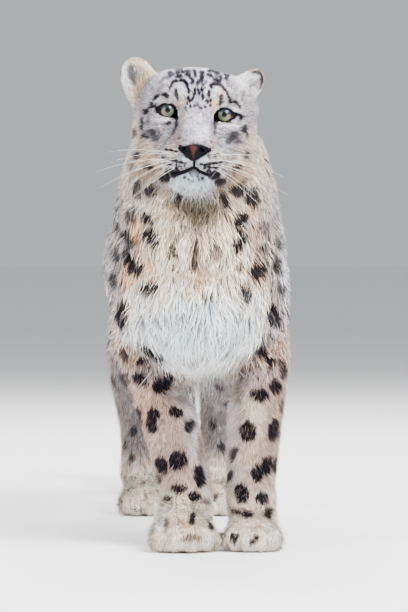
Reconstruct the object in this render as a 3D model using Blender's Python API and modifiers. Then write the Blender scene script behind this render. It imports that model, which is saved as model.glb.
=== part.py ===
"""A snow leopard standing with its head up and its forepaws close together, life size.

Metres, +Z up. The animal faces -Y, so its own left side is at +X. The sizes are those of the coat's
outer surface. The body is modelled whole, parted with thin cuts and stood on the floor at z = 0.
"""

import math

import bpy
import bmesh
import numpy as np
from mathutils import Matrix, Vector
from mathutils.bvhtree import BVHTree

GAP = 0.0003  # left between two nodes that touch
EAR_GAP = 0.0005
VOXEL_BODY = 0.006
VOXEL_FINE = 0.003
BODY_TRIANGLES = 2400
HEAD_TRIANGLES = 1800
PAW_TRIANGLES = 240
SLIVER = 0.0000015
RING_STEP = 0.012
RING_POINTS = 24

# Stations of the trunk: y, height of the middle, half width, half height.
TORSO = (
    (-0.120, 0.420, 0.056, 0.070),
    (-0.100, 0.418, 0.092, 0.108),
    (-0.060, 0.421, 0.119, 0.138),
    (0.010, 0.430, 0.130, 0.158),
    (0.090, 0.438, 0.129, 0.158),
    (0.200, 0.426, 0.128, 0.148),
    (0.330, 0.416, 0.133, 0.142),
    (0.440, 0.424, 0.132, 0.138),
    (0.540, 0.446, 0.124, 0.128),
    (0.630, 0.462, 0.114, 0.112),
    (0.700, 0.468, 0.086, 0.086),
    (0.735, 0.470, 0.050, 0.052),
)
RUMP_SHIFT_X = -0.028  # the hind quarters stand a little to the animal's right
RUMP_SHIFT_FROM = 0.05
RUMP_SHIFT_TO = 0.60

# Stations of the neck: x, y, z, half width, half depth.
NECK = (
    (0.000, 0.150, 0.445, 0.115, 0.110),
    (0.000, 0.055, 0.476, 0.126, 0.132),
    (0.000, -0.025, 0.516, 0.123, 0.130),
    (0.000, -0.082, 0.556, 0.110, 0.112),
    (0.000, -0.124, 0.592, 0.100, 0.094),
    (0.000, -0.145, 0.614, 0.086, 0.078),
)

# Stations of the breast, from the throat down: x, y, z, half width, half depth.
BREAST = (
    (0.000, -0.088, 0.560, 0.096, 0.088),
    (0.000, -0.074, 0.500, 0.110, 0.098),
    (0.000, -0.056, 0.440, 0.114, 0.098),
    (0.000, -0.030, 0.380, 0.106, 0.092),
    (0.000, 0.000, 0.335, 0.084, 0.068),
)

# Stations of each leg, from the body down: x, y, z, half width, half depth.
FORELEG_RIGHT = (
    (-0.080, 0.030, 0.490, 0.048, 0.066),
    (-0.082, 0.018, 0.420, 0.052, 0.084),
    (-0.077, 0.036, 0.345, 0.054, 0.076),
    (-0.068, 0.044, 0.290, 0.052, 0.060),
    (-0.052, 0.032, 0.230, 0.049, 0.050),
    (-0.033, 0.014, 0.155, 0.044, 0.043),
    (-0.017, 0.002, 0.095, 0.042, 0.039),
    (-0.017, -0.012, 0.050, 0.042, 0.040),
)
FORELEG_LEFT = (
    (0.082, 0.030, 0.490, 0.048, 0.066),
    (0.086, 0.018, 0.420, 0.052, 0.084),
    (0.090, 0.036, 0.345, 0.051, 0.076),
    (0.093, 0.044, 0.290, 0.048, 0.060),
    (0.090, 0.032, 0.230, 0.047, 0.050),
    (0.084, 0.014, 0.155, 0.043, 0.042),
    (0.081, 0.002, 0.095, 0.040, 0.038),
    (0.083, -0.012, 0.050, 0.039, 0.038),
)
HINDLEG = (
    (0.044, 0.640, 0.490, 0.050, 0.070),
    (0.062, 0.625, 0.430, 0.060, 0.104),
    (0.068, 0.590, 0.360, 0.058, 0.102),
    (0.068, 0.580, 0.300, 0.053, 0.080),
    (0.067, 0.622, 0.240, 0.045, 0.058),
    (0.063, 0.668, 0.190, 0.038, 0.046),
    (0.060, 0.690, 0.150, 0.035, 0.040),
    (0.059, 0.680, 0.100, 0.034, 0.036),
    (0.059, 0.662, 0.055, 0.036, 0.037),
)
HIND_MIDDLE_X = RUMP_SHIFT_X + 0.004
HIND_RIGHT_OUT = 0.014  # the lower part of the right hind leg stands this much further out
HIND_OUT_FROM = 0.34
HIND_OUT_TO = 0.24

# A paw's masses about its own middle on the floor: place, radii.
PAW_MASSES = (
    ((0.000, -0.008, 0.040), (0.043, 0.045, 0.037)),
    ((0.000, -0.040, 0.033), (0.044, 0.034, 0.030)),
)
TOE_PLACES = (-0.0355, -0.0125, 0.0125, 0.0355)  # across the paw
TOE_REACH = (-0.055, -0.069, -0.069, -0.055)  # how far forward each toe's middle lies
TOE_RADII = (0.0152, 0.026, 0.0240)
TOE_HEIGHT = 0.0215
PAWS = (
    # name, middle on the floor, size against the plain paw
    ("forepaw_right", (-0.0205, -0.016), 1.05),
    ("forepaw_left", (0.0840, -0.012), 0.91),
    ("hindpaw_right", (HIND_MIDDLE_X - 0.059 - 0.5 * HIND_RIGHT_OUT, 0.655), 0.92),
    ("hindpaw_left", (HIND_MIDDLE_X + 0.059, 0.655), 0.92),
)

# Stations of the tail: x, y, z, radius. It hangs and swings up again clear of the floor.
TAIL = (
    (-0.028, 0.640, 0.480, 0.050),
    (-0.028, 0.720, 0.478, 0.047),
    (-0.030, 0.790, 0.430, 0.044),
    (-0.036, 0.840, 0.350, 0.046),
    (-0.046, 0.880, 0.260, 0.050),
    (-0.058, 0.935, 0.170, 0.053),
    (-0.066, 1.020, 0.108, 0.055),
    (-0.070, 1.125, 0.098, 0.055),
    (-0.072, 1.225, 0.145, 0.054),
    (-0.072, 1.290, 0.225, 0.050),
    (-0.070, 1.315, 0.285, 0.040),
)
TAIL_CUTS = (3, 5, 6.6, 8.2)  # the stations where the tail is parted into lengths
TAIL_ROOT_CUT = 1.6

# The head's own frame has its origin midway between the fronts of the eyes.
HEAD_PLACE = Vector((-0.001, -0.245, 0.643))
HEAD_ROLL = math.radians(4.5)  # its left side is the lower one
# Masses of the head: place, radii, pitch in degrees. One off the middle stands on both sides.
HEAD_MASSES = (
    ((0.000, 0.078, 0.000), (0.087, 0.082, 0.066), 0),
    ((0.000, 0.036, 0.022), (0.068, 0.046, 0.044), 0),
    ((0.034, 0.060, 0.030), (0.040, 0.048, 0.032), 0),
    ((0.000, 0.110, -0.030), (0.083, 0.070, 0.070), 0),
    ((0.058, 0.072, -0.026), (0.042, 0.058, 0.066), 0),
    ((0.048, 0.044, -0.062), (0.038, 0.045, 0.040), 0),
    ((0.000, 0.050, -0.086), (0.066, 0.062, 0.042), 0),
    ((0.040, 0.032, -0.030), (0.036, 0.037, 0.036), 0),
    ((0.055, 0.046, -0.022), (0.033, 0.038, 0.034), 0),
    ((0.031, 0.020, 0.026), (0.030, 0.027, 0.021), 0),
    ((0.000, -0.014, -0.056), (0.041, 0.046, 0.032), 0),
    ((0.022, -0.034, -0.064), (0.0245, 0.028, 0.0225), 0),
    ((0.000, -0.020, -0.096), (0.031, 0.032, 0.023), 0),
    ((0.000, -0.033, -0.106), (0.022, 0.018, 0.014), 0),
)
# Stations of one side of the nose's bridge, from the brow down: x, y, z, half width, half depth.
BRIDGE = (
    (0.012, 0.036, 0.026, 0.022, 0.024),
    (0.010, 0.010, 0.006, 0.0185, 0.022),
    (0.008, -0.016, -0.018, 0.0160, 0.020),
    (0.008, -0.040, -0.040, 0.0155, 0.017),
    (0.006, -0.051, -0.050, 0.0140, 0.013),
)
EYE_PLACE = Vector((0.0405, 0.0158, 0.0))
EYE_RADIUS = 0.0168
LID_RADII = (0.0225, 0.0195, 0.0175)
LID_PLACE = Vector((0.0405, 0.0165, 0.0))
OPENING_WIDTH = 0.031
OPENING_HEIGHT = 0.0185
OPENING_TILT = math.radians(20)  # the outer corner is the higher one
LID_RIM = 0.0016

NOSE_MASSES = (
    ((0.000, -0.0585, -0.0560), (0.0155, 0.0115, 0.0105), 0),
    ((0.0130, -0.0545, -0.0525), (0.0100, 0.0105, 0.0075), 0),
    ((0.000, -0.0565, -0.0640), (0.0075, 0.0095, 0.0070), 0),
)
NOSTRIL_PLACE = Vector((0.0130, -0.0655, -0.0540))
NOSTRIL_RADII = (0.0046, 0.0080, 0.0030)
NOSTRIL_TILT = math.radians(28)
# The line of the mouth, seen from the front, from the middle out: x, z.
MOUTH = (
    (0.000, -0.0765),
    (0.009, -0.0800),
    (0.019, -0.0855),
    (0.029, -0.0885),
    (0.038, -0.0885),
    (0.052, -0.0870),
)
MOUTH_BACK = 0.012  # the jaw's rear face, behind the eyes' fronts
MOUTH_GROOVE = 0.0014
PHILTRUM = (-0.069, -0.073, -0.0765)  # heights of the groove from the nose to the mouth
PHILTRUM_GROOVE = 0.0010
MOUTH_STEP = 0.008
MOUTH_CORNER = 3  # the groove ends at this point of the line
JAW_DROP = 0.075

EARS = (
    # name, place, how far it is turned outward, how far it leans outward
    ("ear_right", Vector((-0.081, 0.070, 0.030)), math.radians(-6), math.radians(-24)),
    ("ear_left", Vector((0.060, 0.078, 0.032)), math.radians(52), math.radians(38)),
)
EAR_LOBE = (0.0275, 0.0155, 0.0370)
EAR_LOBE_RISE = 0.014
EAR_ROOT = (0.0260, 0.0190, 0.0240)
EAR_CUP = (0.0190, 0.0150, 0.0265)
EAR_CUP_FORWARD = 0.0150
EAR_TRIANGLES = 240
NOSE_TRIANGLES = 220

# Thin cuts: name, middle, way it faces, half sizes along its two edges. The first edge runs along X
# as far as the cut allows.
CUTS = (
    ("head_from_neck", (0.0, -0.128, 0.612), (0, -0.87, 0.49), (0.17, 0.15)),
    ("neck_from_chest", (0.0, -0.052, 0.534), (0, -0.74, 0.67), (0.18, 0.165)),
    ("chest_from_belly", (0.0, 0.190, 0.430), (0, 1, 0), (0.20, 0.22)),
    ("belly_from_hips", (0.0, 0.420, 0.430), (0, 1, 0), (0.20, 0.20)),
    ("forelegs", (0.0, 0.065, 0.262), (0, 0, 1), (0.20, 0.105)),
    ("hindlegs", (-0.024, 0.600, 0.279), (0, 0, 1), (0.20, 0.18)),
    ("hocks", (-0.024, 0.680, 0.174), (0, 0.25, 0.97), (0.150, 0.100)),
    ("wrists", (0.035, 0.000, 0.088), (0, 0, 1), (0.140, 0.090)),
    ("hind_ankles", (-0.024, 0.680, 0.088), (0, 0, 1), (0.150, 0.080)),
)
# A point inside each node that the cuts leave.
NODE_POINTS = (
    ("head", (0.0, -0.200, 0.640)),
    ("neck", (0.0, -0.085, 0.570)),
    ("chest", (0.0, 0.100, 0.450)),
    ("belly", (0.0, 0.300, 0.430)),
    ("hips", (-0.020, 0.600, 0.470)),
    ("foreleg_right", (-0.045, 0.025, 0.200)),
    ("foreleg_left", (0.090, 0.025, 0.200)),
    ("hindleg_right", (-0.100, 0.620, 0.240)),
    ("hindleg_left", (0.043, 0.620, 0.240)),
    ("hock_right", (-0.097, 0.688, 0.130)),
    ("hock_left", (0.035, 0.688, 0.130)),
    ("forepaw_right", (-0.0165, -0.020, 0.040)),
    ("forepaw_left", (0.0850, -0.015, 0.040)),
    ("hindpaw_right", (-0.083, 0.650, 0.040)),
    ("hindpaw_left", (0.035, 0.650, 0.040)),
)

# Where long locks grow, the body under them lies deeper: middle, reach, depth.
CORE_ZONES = (
    ((0.000, -0.170, 0.400), (0.150, 0.150, 0.190), 0.014),
    ((0.005, 0.020, 0.262), (0.075, 0.180, 0.050), 0.012),
    ((-0.012, 0.300, 0.270), (0.140, 0.220, 0.070), 0.013),
    ((-0.100, -0.180, 0.590), (0.045, 0.080, 0.080), 0.011),
    ((0.096, -0.180, 0.575), (0.045, 0.080, 0.080), 0.011),
    ((-0.005, -0.200, 0.520), (0.080, 0.060, 0.040), 0.010),
    ((-0.060, 0.110, 0.225), (0.050, 0.055, 0.085), 0.009),
    ((0.092, 0.110, 0.225), (0.050, 0.055, 0.085), 0.009),
    ((-0.095, 0.730, 0.380), (0.080, 0.080, 0.120), 0.011),
    ((0.042, 0.730, 0.380), (0.080, 0.080, 0.120), 0.011),
)
CORE_ZONE_EDGE = 2.4  # how steeply a zone's depth starts from its edge
TAIL_CORE_FROM = 0.790
TAIL_CORE_TO = 0.850
TAIL_CORE_DEPTH = 0.011
# Rows of locks: node, where the row starts and ends, how many, lie, length, half width.
LOCK_ROWS = (
    ("head", (-0.052, -0.205, 0.520), (0.046, -0.205, 0.518), 5, (0, 0.1, -1), 0.056, 0.016),
    ("neck", (-0.074, -0.19, 0.488), (0.074, -0.19, 0.488), 5, (0, 0, -1), 0.060, 0.020),
    ("neck", (-0.090, -0.18, 0.458), (0.090, -0.18, 0.458), 5, (0, 0, -1), 0.064, 0.021),
    ("neck", (-0.046, -0.18, 0.440), (0.046, -0.18, 0.440), 3, (0, 0, -1), 0.060, 0.020),
    ("chest", (-0.094, -0.15, 0.402), (0.094, -0.15, 0.402), 5, (0, 0, -1), 0.064, 0.022),
    ("chest", (-0.072, -0.15, 0.370), (0.072, -0.15, 0.370), 5, (0, 0, -1), 0.064, 0.021),
    ("chest", (-0.086, -0.12, 0.336), (0.086, -0.12, 0.336), 5, (0, 0, -1), 0.064, 0.021),
    ("chest", (-0.045, -0.11, 0.304), (0.052, -0.11, 0.304), 4, (0, 0, -1), 0.072, 0.019),
    ("chest", (0.014, 0.020, 0.265), (0.014, 0.140, 0.265), 3, (0, 0.75, -0.65), 0.045, 0.018),
    ("belly", (-0.055, 0.215, 0.27), (-0.070, 0.375, 0.27), 4, (0, 0.92, -0.3), 0.050, 0.020),
    ("belly", (-0.005, 0.200, 0.27), (-0.016, 0.370, 0.27), 4, (0, 0.92, -0.3), 0.052, 0.020),
    ("belly", (0.050, 0.215, 0.27), (0.036, 0.375, 0.27), 4, (0, 0.92, -0.3), 0.050, 0.020),
    ("head", (-0.098, -0.205, 0.618), (-0.080, -0.222, 0.558), 4, (-0.55, 0.5, -0.8), 0.036, 0.012),
    ("head", (-0.106, -0.176, 0.608), (-0.088, -0.188, 0.552), 3, (-0.5, 0.5, -0.8), 0.038, 0.014),
    ("head", (0.094, -0.205, 0.602), (0.072, -0.222, 0.548), 4, (0.55, 0.5, -0.8), 0.036, 0.012),
    ("head", (0.104, -0.176, 0.592), (0.082, -0.188, 0.542), 3, (0.5, 0.5, -0.8), 0.038, 0.014),
    ("head", (-0.045, -0.205, 0.528), (0.034, -0.205, 0.524), 4, (0, 0.45, -0.9), 0.034, 0.012),
    ("jaw", (-0.022, -0.285, 0.533), (0.008, -0.285, 0.531), 3, (0, 0.25, -1), 0.016, 0.007),
    ("foreleg_right", (-0.060, 0.10, 0.250), (-0.048, 0.09, 0.190), 3, (0, 0.2, -1), 0.034, 0.014),
    ("foreleg_left", (0.092, 0.10, 0.250), (0.090, 0.09, 0.190), 3, (0, 0.2, -1), 0.034, 0.014),
    ("hips", (-0.110, 0.74, 0.430), (-0.104, 0.72, 0.345), 3, (0, 0.2, -1), 0.050, 0.018),
    ("hips", (-0.080, 0.74, 0.410), (-0.076, 0.72, 0.335), 2, (0, 0.2, -1), 0.046, 0.018),
    ("hips", (0.056, 0.74, 0.430), (0.050, 0.72, 0.345), 3, (0, 0.2, -1), 0.050, 0.018),
    ("hips", (0.026, 0.74, 0.410), (0.022, 0.72, 0.335), 2, (0, 0.2, -1), 0.046, 0.018),
)
TAIL_LOCK_TURNS = (20, 140, 260)  # degrees round the tail
TAIL_LOCK_STEP = 0.72  # stations between one ring of locks and the next
TAIL_LOCK_LENGTH = 0.062
TAIL_LOCK_HALF_WIDTH = 0.024
# A lock from root to tip: how far along, share of its width, how deep (1 is the sunk root's depth).
LOCK_PROFILE = ((0.0, 0.70, 1.0), (0.30, 1.00, 0.60), (0.62, 0.82, 0.14), (0.86, 0.44, -0.05))
LOCK_TIP_DEPTH = -0.06
LOCK_ROOT_DEPTH = 0.024
LOCK_FLATNESS = 0.42
LOCK_CLEARANCE = 0.0006
LOCK_TRIES = 6
LOCK_STEPS = 12
LOCK_LOWEST = 0.004
LOCK_FAULT_REACH = 0.0005
LOCK_SEED = 4

COAT = ((0.63, 0.56, 0.50, 1.0), 0.85)
PALE_COAT = ((0.74, 0.70, 0.65, 1.0), 0.85)
EYE_COLOUR = ((0.34, 0.40, 0.33, 1.0), 0.12)
NOSE_COLOUR = ((0.22, 0.08, 0.08, 1.0), 0.45)
PALE_NODES = ("chest", "belly", "jaw", "forepaw_right", "forepaw_left")


def clear_scene():
    """Removes what the startup scene holds."""
    for obj in list(bpy.data.objects):
        bpy.data.objects.remove(obj)


def material(name, finish):
    """A Principled material of one colour and roughness."""
    made = bpy.data.materials.new(name)
    made.use_nodes = True
    shader = made.node_tree.nodes["Principled BSDF"]
    shader.inputs["Base Color"].default_value = finish[0]
    shader.inputs["Roughness"].default_value = finish[1]
    made.diffuse_color = finish[0]
    return made


def new_object(name, mesh, collection=None):
    """Links a mesh object to a collection, or to the scene."""
    obj = bpy.data.objects.new(name, mesh)
    (collection or bpy.context.scene.collection).objects.link(obj)
    return obj


def mesh_from(bm, name="form"):
    """Turns a bmesh into a mesh and frees it."""
    mesh = bpy.data.meshes.new(name)
    bm.to_mesh(mesh)
    bm.free()
    return mesh


def evaluated_mesh(obj):
    """The object's mesh with its modifiers applied."""
    graph = bpy.context.evaluated_depsgraph_get()
    return bpy.data.meshes.new_from_object(obj.evaluated_get(graph))


def apply_modifiers(obj):
    """Gives the object its evaluated mesh, and drops its modifiers."""
    mesh = evaluated_mesh(obj)
    obj.modifiers.clear()
    obj.data = mesh


def smooth_path(stations, step=RING_STEP):
    """Rows of numbers along a Catmull-Rom curve through the stations, about a step apart."""
    rows = np.array(stations, float)
    padded = np.vstack([2 * rows[0] - rows[1], rows, 2 * rows[-1] - rows[-2]])
    found = []
    for a, b, c, d in zip(padded, padded[1:], padded[2:], padded[3:]):
        count = max(2, int(np.linalg.norm((c - b)[:3]) / step))
        for t in np.arange(count) / count:
            found.append(
                0.5 * (2 * b + (c - a) * t + (2 * a - 5 * b + 4 * c - d) * t * t
                       + (3 * b - a - 3 * c + d) * t ** 3)
            )
    found.append(rows[-1])
    return np.array(found)


def loft(bm, stations, points=RING_POINTS, step=RING_STEP, tip=0.35):
    """Adds a closed tube through stations of x, y, z, half width and half depth, with domed ends."""
    rows = smooth_path(stations, step) if step else stations
    places = [Vector(row[:3]) for row in rows]
    ways = [(b - a).normalized() for a, b in zip(places, places[1:])]
    ways = [ways[0]] + [(a + b).normalized() for a, b in zip(ways, ways[1:])] + [ways[-1]]
    rings = []
    caps = ((-0.9, 0.45), (-0.55, 0.83))
    ends = [(places[0], ways[0], rows[0], back * tip, size) for back, size in caps]
    ends += [(p, w, r, 0.0, 1.0) for p, w, r in zip(places, ways, rows)]
    ends += [(places[-1], ways[-1], rows[-1], -back * tip, size) for back, size in reversed(caps)]
    for place, way, row, along, size in ends:
        side = (Vector((1, 0, 0)) - way * way.x).normalized()
        up = way.cross(side)
        middle = place + way * (along * row[4])
        ring = []
        for k in range(points):
            turn = 2 * math.pi * k / points
            reach = side * (math.cos(turn) * row[3]) + up * (math.sin(turn) * row[4])
            ring.append(bm.verts.new(middle + reach * size))
        rings.append(ring)
    for lower, upper in zip(rings, rings[1:]):
        for k in range(points):
            n = (k + 1) % points
            bm.faces.new((lower[k], lower[n], upper[n], upper[k]))
    bm.faces.new(list(reversed(rings[0])))
    bm.faces.new(rings[-1])


def ball(bm, place, radii, turn=None, segments=24):
    """Adds an ellipsoid."""
    matrix = Matrix.Translation(place) @ (turn or Matrix()) @ Matrix.Diagonal((*radii, 1))
    bmesh.ops.create_uvsphere(
        bm, u_segments=segments, v_segments=segments // 2, radius=1, matrix=matrix
    )


def both_sides(masses):
    """Each mass as place, radii and a matrix, with one off the middle repeated at the other side."""
    for place, radii, pitch in masses:
        turn = Matrix.Rotation(math.radians(pitch), 4, "X")
        sides = (1,) if place[0] == 0 else (1, -1)
        for side in sides:
            yield Vector((place[0] * side, place[1], place[2])), radii, turn


def outward(bm):
    """Turns every face of the bmesh outward."""
    bmesh.ops.recalc_face_normals(bm, faces=bm.faces)


def fused(bm, voxel, rounds):
    """One closed mesh round everything in the bmesh, smoothed a number of rounds."""
    outward(bm)
    obj = new_object("fusing", mesh_from(bm))
    remesh = obj.modifiers.new("Remesh", "REMESH")
    remesh.mode = "VOXEL"
    remesh.voxel_size = voxel
    smooth = obj.modifiers.new("Smooth", "SMOOTH")
    smooth.factor = 0.5
    smooth.iterations = rounds
    mesh = evaluated_mesh(obj)
    bpy.data.objects.remove(obj)
    return mesh


def thinned(mesh, triangles):
    """The mesh with about that many triangles."""
    obj = new_object("thinning", mesh)
    faces = sum(len(p.vertices) - 2 for p in mesh.polygons)
    thin = obj.modifiers.new("Thin", "DECIMATE")
    thin.ratio = min(1.0, triangles / faces)
    thin.use_collapse_triangulate = True
    made = evaluated_mesh(obj)
    bpy.data.objects.remove(obj)
    return made


def head_matrix():
    """From the head's own frame to the animal's."""
    return Matrix.Translation(HEAD_PLACE) @ Matrix.Rotation(HEAD_ROLL, 4, "Y")


def rump_shift(y):
    """How far the trunk's middle has moved to the side at this y."""
    t = min(1.0, max(0.0, (y - RUMP_SHIFT_FROM) / (RUMP_SHIFT_TO - RUMP_SHIFT_FROM)))
    return RUMP_SHIFT_X * t * t * (3 - 2 * t)


def hindleg_stations(side):
    """The hind leg's stations at one side of the rump."""
    found = []
    for x, y, z, a, b in HINDLEG:
        low = min(1.0, max(0.0, (HIND_OUT_FROM - z) / (HIND_OUT_FROM - HIND_OUT_TO)))
        out = HIND_RIGHT_OUT * low if side < 0 else 0.0
        found.append((HIND_MIDDLE_X + side * (x + out), y, z, a + out * 0.2, b))
    return found


def core_of(mesh, place, voxel):
    """A copy of a dense mesh, sunk where long locks will stand over it. place is its matrix."""
    bm = bmesh.new()
    bm.from_mesh(mesh)
    bm.normal_update()
    moves = []
    for v in bm.verts:
        spot = place @ v.co
        depth = 0.0
        for middle, reach, most in CORE_ZONES:
            away = sum(((a - b) / c) ** 2 for a, b, c in zip(spot, middle, reach))
            depth = max(depth, most * min(1.0, CORE_ZONE_EDGE * max(0.0, 1.0 - away)))
        tail = (spot.y - TAIL_CORE_FROM) / (TAIL_CORE_TO - TAIL_CORE_FROM)
        depth = max(depth, TAIL_CORE_DEPTH * min(1.0, max(0.0, tail)))
        moves.append(v.co - v.normal * depth)
    for v, spot in zip(bm.verts, moves):
        v.co = spot
    return fused(bm, voxel, 2)


def body_mesh():
    """Trunk, neck, legs and tail as one smooth dense mesh."""
    bm = bmesh.new()
    loft(bm, [(rump_shift(y), y, z, a, b) for y, z, a, b in TORSO])
    loft(bm, NECK)
    loft(bm, BREAST)
    loft(bm, FORELEG_RIGHT)
    loft(bm, FORELEG_LEFT)
    for side in (-1, 1):
        loft(bm, hindleg_stations(side))
    loft(bm, [(x, y, z, r, r) for x, y, z, r in TAIL], tip=0.5)
    return fused(bm, VOXEL_BODY, 20)


def paw_mesh(middle, size):
    """A paw with its four toes, reaching below the floor where the cut makes its sole."""
    bm = bmesh.new()
    place = Matrix.Translation((*middle, 0)) @ Matrix.Scale(size, 4)
    for at, radii in PAW_MASSES:
        ball(bm, place @ Vector(at), [r * size for r in radii])
    for across, reach in zip(TOE_PLACES, TOE_REACH):
        turn = Matrix.Rotation(math.radians(-160 * across), 4, "Z")
        toe = Vector((across, reach, TOE_HEIGHT))
        ball(bm, place @ toe, [r * size for r in TOE_RADII], turn)
    return thinned(fused(bm, VOXEL_FINE, 5), PAW_TRIANGLES)


def head_mesh():
    """The head's masses and lids as one dense mesh, in its own frame."""
    bm = bmesh.new()
    for place, radii, turn in both_sides(HEAD_MASSES):
        ball(bm, place, radii, turn)
    for side in (-1, 1):
        ball(bm, Vector((LID_PLACE.x * side, LID_PLACE.y, LID_PLACE.z)), LID_RADII)
        loft(bm, [(x * side, y, z, a, b) for x, y, z, a, b in BRIDGE], step=0.006)
    return fused(bm, VOXEL_FINE, 7)


def cutter_box(middle, facing, halves, thick=GAP):
    """A thin box across the given way."""
    normal = Vector(facing).normalized()
    first = (Vector((1, 0, 0)) - normal * normal.x)
    first.normalize()
    second = normal.cross(first)
    turn = Matrix((first, second, normal)).transposed().to_4x4()
    size = Matrix.Diagonal((2 * halves[0], 2 * halves[1], thick, 1))
    bm = bmesh.new()
    bmesh.ops.create_cube(bm, size=1, matrix=Matrix.Translation(middle) @ turn @ size)
    outward(bm)
    return mesh_from(bm)


def boolean(obj, meshes, operation, solver="MANIFOLD"):
    """Joins all the meshes to the object, or cuts them from it, in one step."""
    cutters = bpy.data.collections.new("cutters")
    bpy.context.scene.collection.children.link(cutters)
    for mesh in meshes:
        new_object("cutter", mesh, cutters).hide_render = True
    step = obj.modifiers.new("Boolean", "BOOLEAN")
    step.operation = operation
    step.operand_type = "COLLECTION"
    step.collection = cutters
    step.solver = solver
    apply_modifiers(obj)
    for cutter in list(cutters.objects):
        bpy.data.objects.remove(cutter)
    bpy.data.collections.remove(cutters)


def tail_cutters():
    """Thin cuts across the tail, at its root and between its lengths."""
    places = [Vector(row[:3]) for row in TAIL]
    found = []
    for at in (TAIL_ROOT_CUT, *TAIL_CUTS):
        k = int(at)
        middle = places[k].lerp(places[k + 1], at - k)
        found.append(cutter_box(middle, places[k + 1] - places[k], (0.075, 0.095)))
    return found


def tail_points():
    """A point inside each length of the tail."""
    ends = (TAIL_ROOT_CUT, *TAIL_CUTS, len(TAIL) - 1)
    found = []
    for number, (a, b) in enumerate(zip(ends, ends[1:]), 1):
        at = (a + b) / 2
        k = min(int(at), len(TAIL) - 2)
        place = Vector(TAIL[k][:3]).lerp(Vector(TAIL[k + 1][:3]), at - k)
        found.append((f"tail_{number}", place))
    return found


def pieces_of(mesh):
    """The mesh's separate surfaces, each a bmesh. Two that touch at a point count as two."""
    bm = bmesh.new()
    bm.from_mesh(mesh)
    left = set(bm.faces)
    groups = []
    while left:
        start = left.pop()
        group, waiting = {start.index}, [start]
        while waiting:
            for edge in waiting.pop().edges:
                for face in edge.link_faces:
                    if face in left:
                        left.discard(face)
                        group.add(face.index)
                        waiting.append(face)
        groups.append(group)
    found = []
    for group in groups:
        piece = bm.copy()
        piece.faces.ensure_lookup_table()
        others = [face for face in piece.faces if face.index not in group]
        bmesh.ops.delete(piece, geom=others, context="FACES")
        found.append(piece)
    bm.free()
    return found


def tree_of(mesh):
    """A search tree of a mesh."""
    bm = bmesh.new()
    bm.from_mesh(mesh)
    tree = BVHTree.FromBMesh(bm)
    bm.free()
    return tree


def lock_mesh(surface, root, lie, length, half_width, bend, grow=0.0):
    """A flat tapered lock that rises from below the surface and ends on it, along the lie."""
    place, normal, _, _ = surface.find_nearest(root)
    way = (lie - normal * lie.dot(normal)).normalized()
    trail = [(place, normal, way)]
    for _ in range(LOCK_STEPS):
        turned = (way + normal.cross(way) * (bend / LOCK_STEPS)).normalized()
        place, normal, _, _ = surface.find_nearest(place + turned * (length / LOCK_STEPS))
        way = (turned - normal * turned.dot(normal)).normalized()
        trail.append((place, normal, way))
    bm = bmesh.new()
    rings = []
    for along, width, depth in LOCK_PROFILE:
        place, normal, way = trail[round(along * LOCK_STEPS)]
        middle = place - normal * (LOCK_ROOT_DEPTH * depth + grow)
        side = way.cross(normal)
        wide = half_width * width + grow
        thick = half_width * width * LOCK_FLATNESS + 2 * grow
        corners = (side * wide, normal * thick, side * -wide)
        rings.append([bm.verts.new(middle + corner) for corner in corners])
    for lower, upper in zip(rings, rings[1:]):
        for k in range(3):
            n = (k + 1) % 3
            bm.faces.new((lower[k], lower[n], upper[n], upper[k]))
    place, normal, way = trail[-1]
    tip = bm.verts.new(place - normal * (LOCK_ROOT_DEPTH * LOCK_TIP_DEPTH) + way * grow)
    for k in range(3):
        bm.faces.new((rings[-1][k], rings[-1][(k + 1) % 3], tip))
    bm.faces.new(list(reversed(rings[0])))
    outward(bm)
    return mesh_from(bm)


def tail_lock_rows():
    """The tail's locks in rings, each as node, root, lie, length and half width."""
    ends = (TAIL_ROOT_CUT, *TAIL_CUTS, len(TAIL) - 1)
    rows = [Vector(row[:3]) for row in TAIL]
    found = []
    at, turned = TAIL_ROOT_CUT + 0.8, 0
    while at < len(TAIL) - 1.3:
        number = sum(1 for end in ends[1:] if at >= end) + 1
        k = int(at)
        middle = rows[k].lerp(rows[k + 1], at - k)
        way = (rows[k + 1] - rows[k]).normalized()
        side = (Vector((1, 0, 0)) - way * way.x).normalized()
        for turn in TAIL_LOCK_TURNS:
            out = Matrix.Rotation(math.radians(turn + turned), 3, way) @ side
            root = middle + out * TAIL[k][3]
            found.append((f"tail_{number}", root, way, TAIL_LOCK_LENGTH, TAIL_LOCK_HALF_WIDTH))
        at += TAIL_LOCK_STEP
        turned += 60
    return found


def lock_rows():
    """Every lock as node, root, lie, length and half width."""
    found = []
    for node, start, end, count, lie, length, half_width in LOCK_ROWS:
        for k in range(count):
            root = Vector(start).lerp(Vector(end), k / (count - 1))
            found.append((node, root, Vector(lie), length, half_width))
    return found + tail_lock_rows()


def grown_locks(nodes, surface):
    """Closed meshes of the locks that each node takes, each clear of every other node."""
    draw = np.random.default_rng(LOCK_SEED)
    cores = {name: tree_of(mesh) for name, mesh in nodes.items()}
    taken = []
    found = {}
    for node, root, lie, length, half_width in lock_rows():
        long = length * draw.uniform(0.88, 1.08)
        bend = draw.uniform(-0.5, 0.5)
        near = root + Vector(draw.uniform(-0.004, 0.004, 3))
        for _ in range(LOCK_TRIES):
            fat = lock_mesh(surface, near, lie, long, half_width, bend, LOCK_CLEARANCE)
            tree = tree_of(fat)
            others = [cores[name] for name in cores if name != node]
            others += [lock for owner, lock in taken if owner != node]
            low = min(v.co.z for v in fat.vertices)
            if low > LOCK_LOWEST and not any(tree.overlap(other) for other in others):
                mesh = lock_mesh(surface, near, lie, long, half_width, bend)
                found.setdefault(node, []).append(mesh)
                taken.append((node, tree))
                break
            long *= 0.86
    return found


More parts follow.
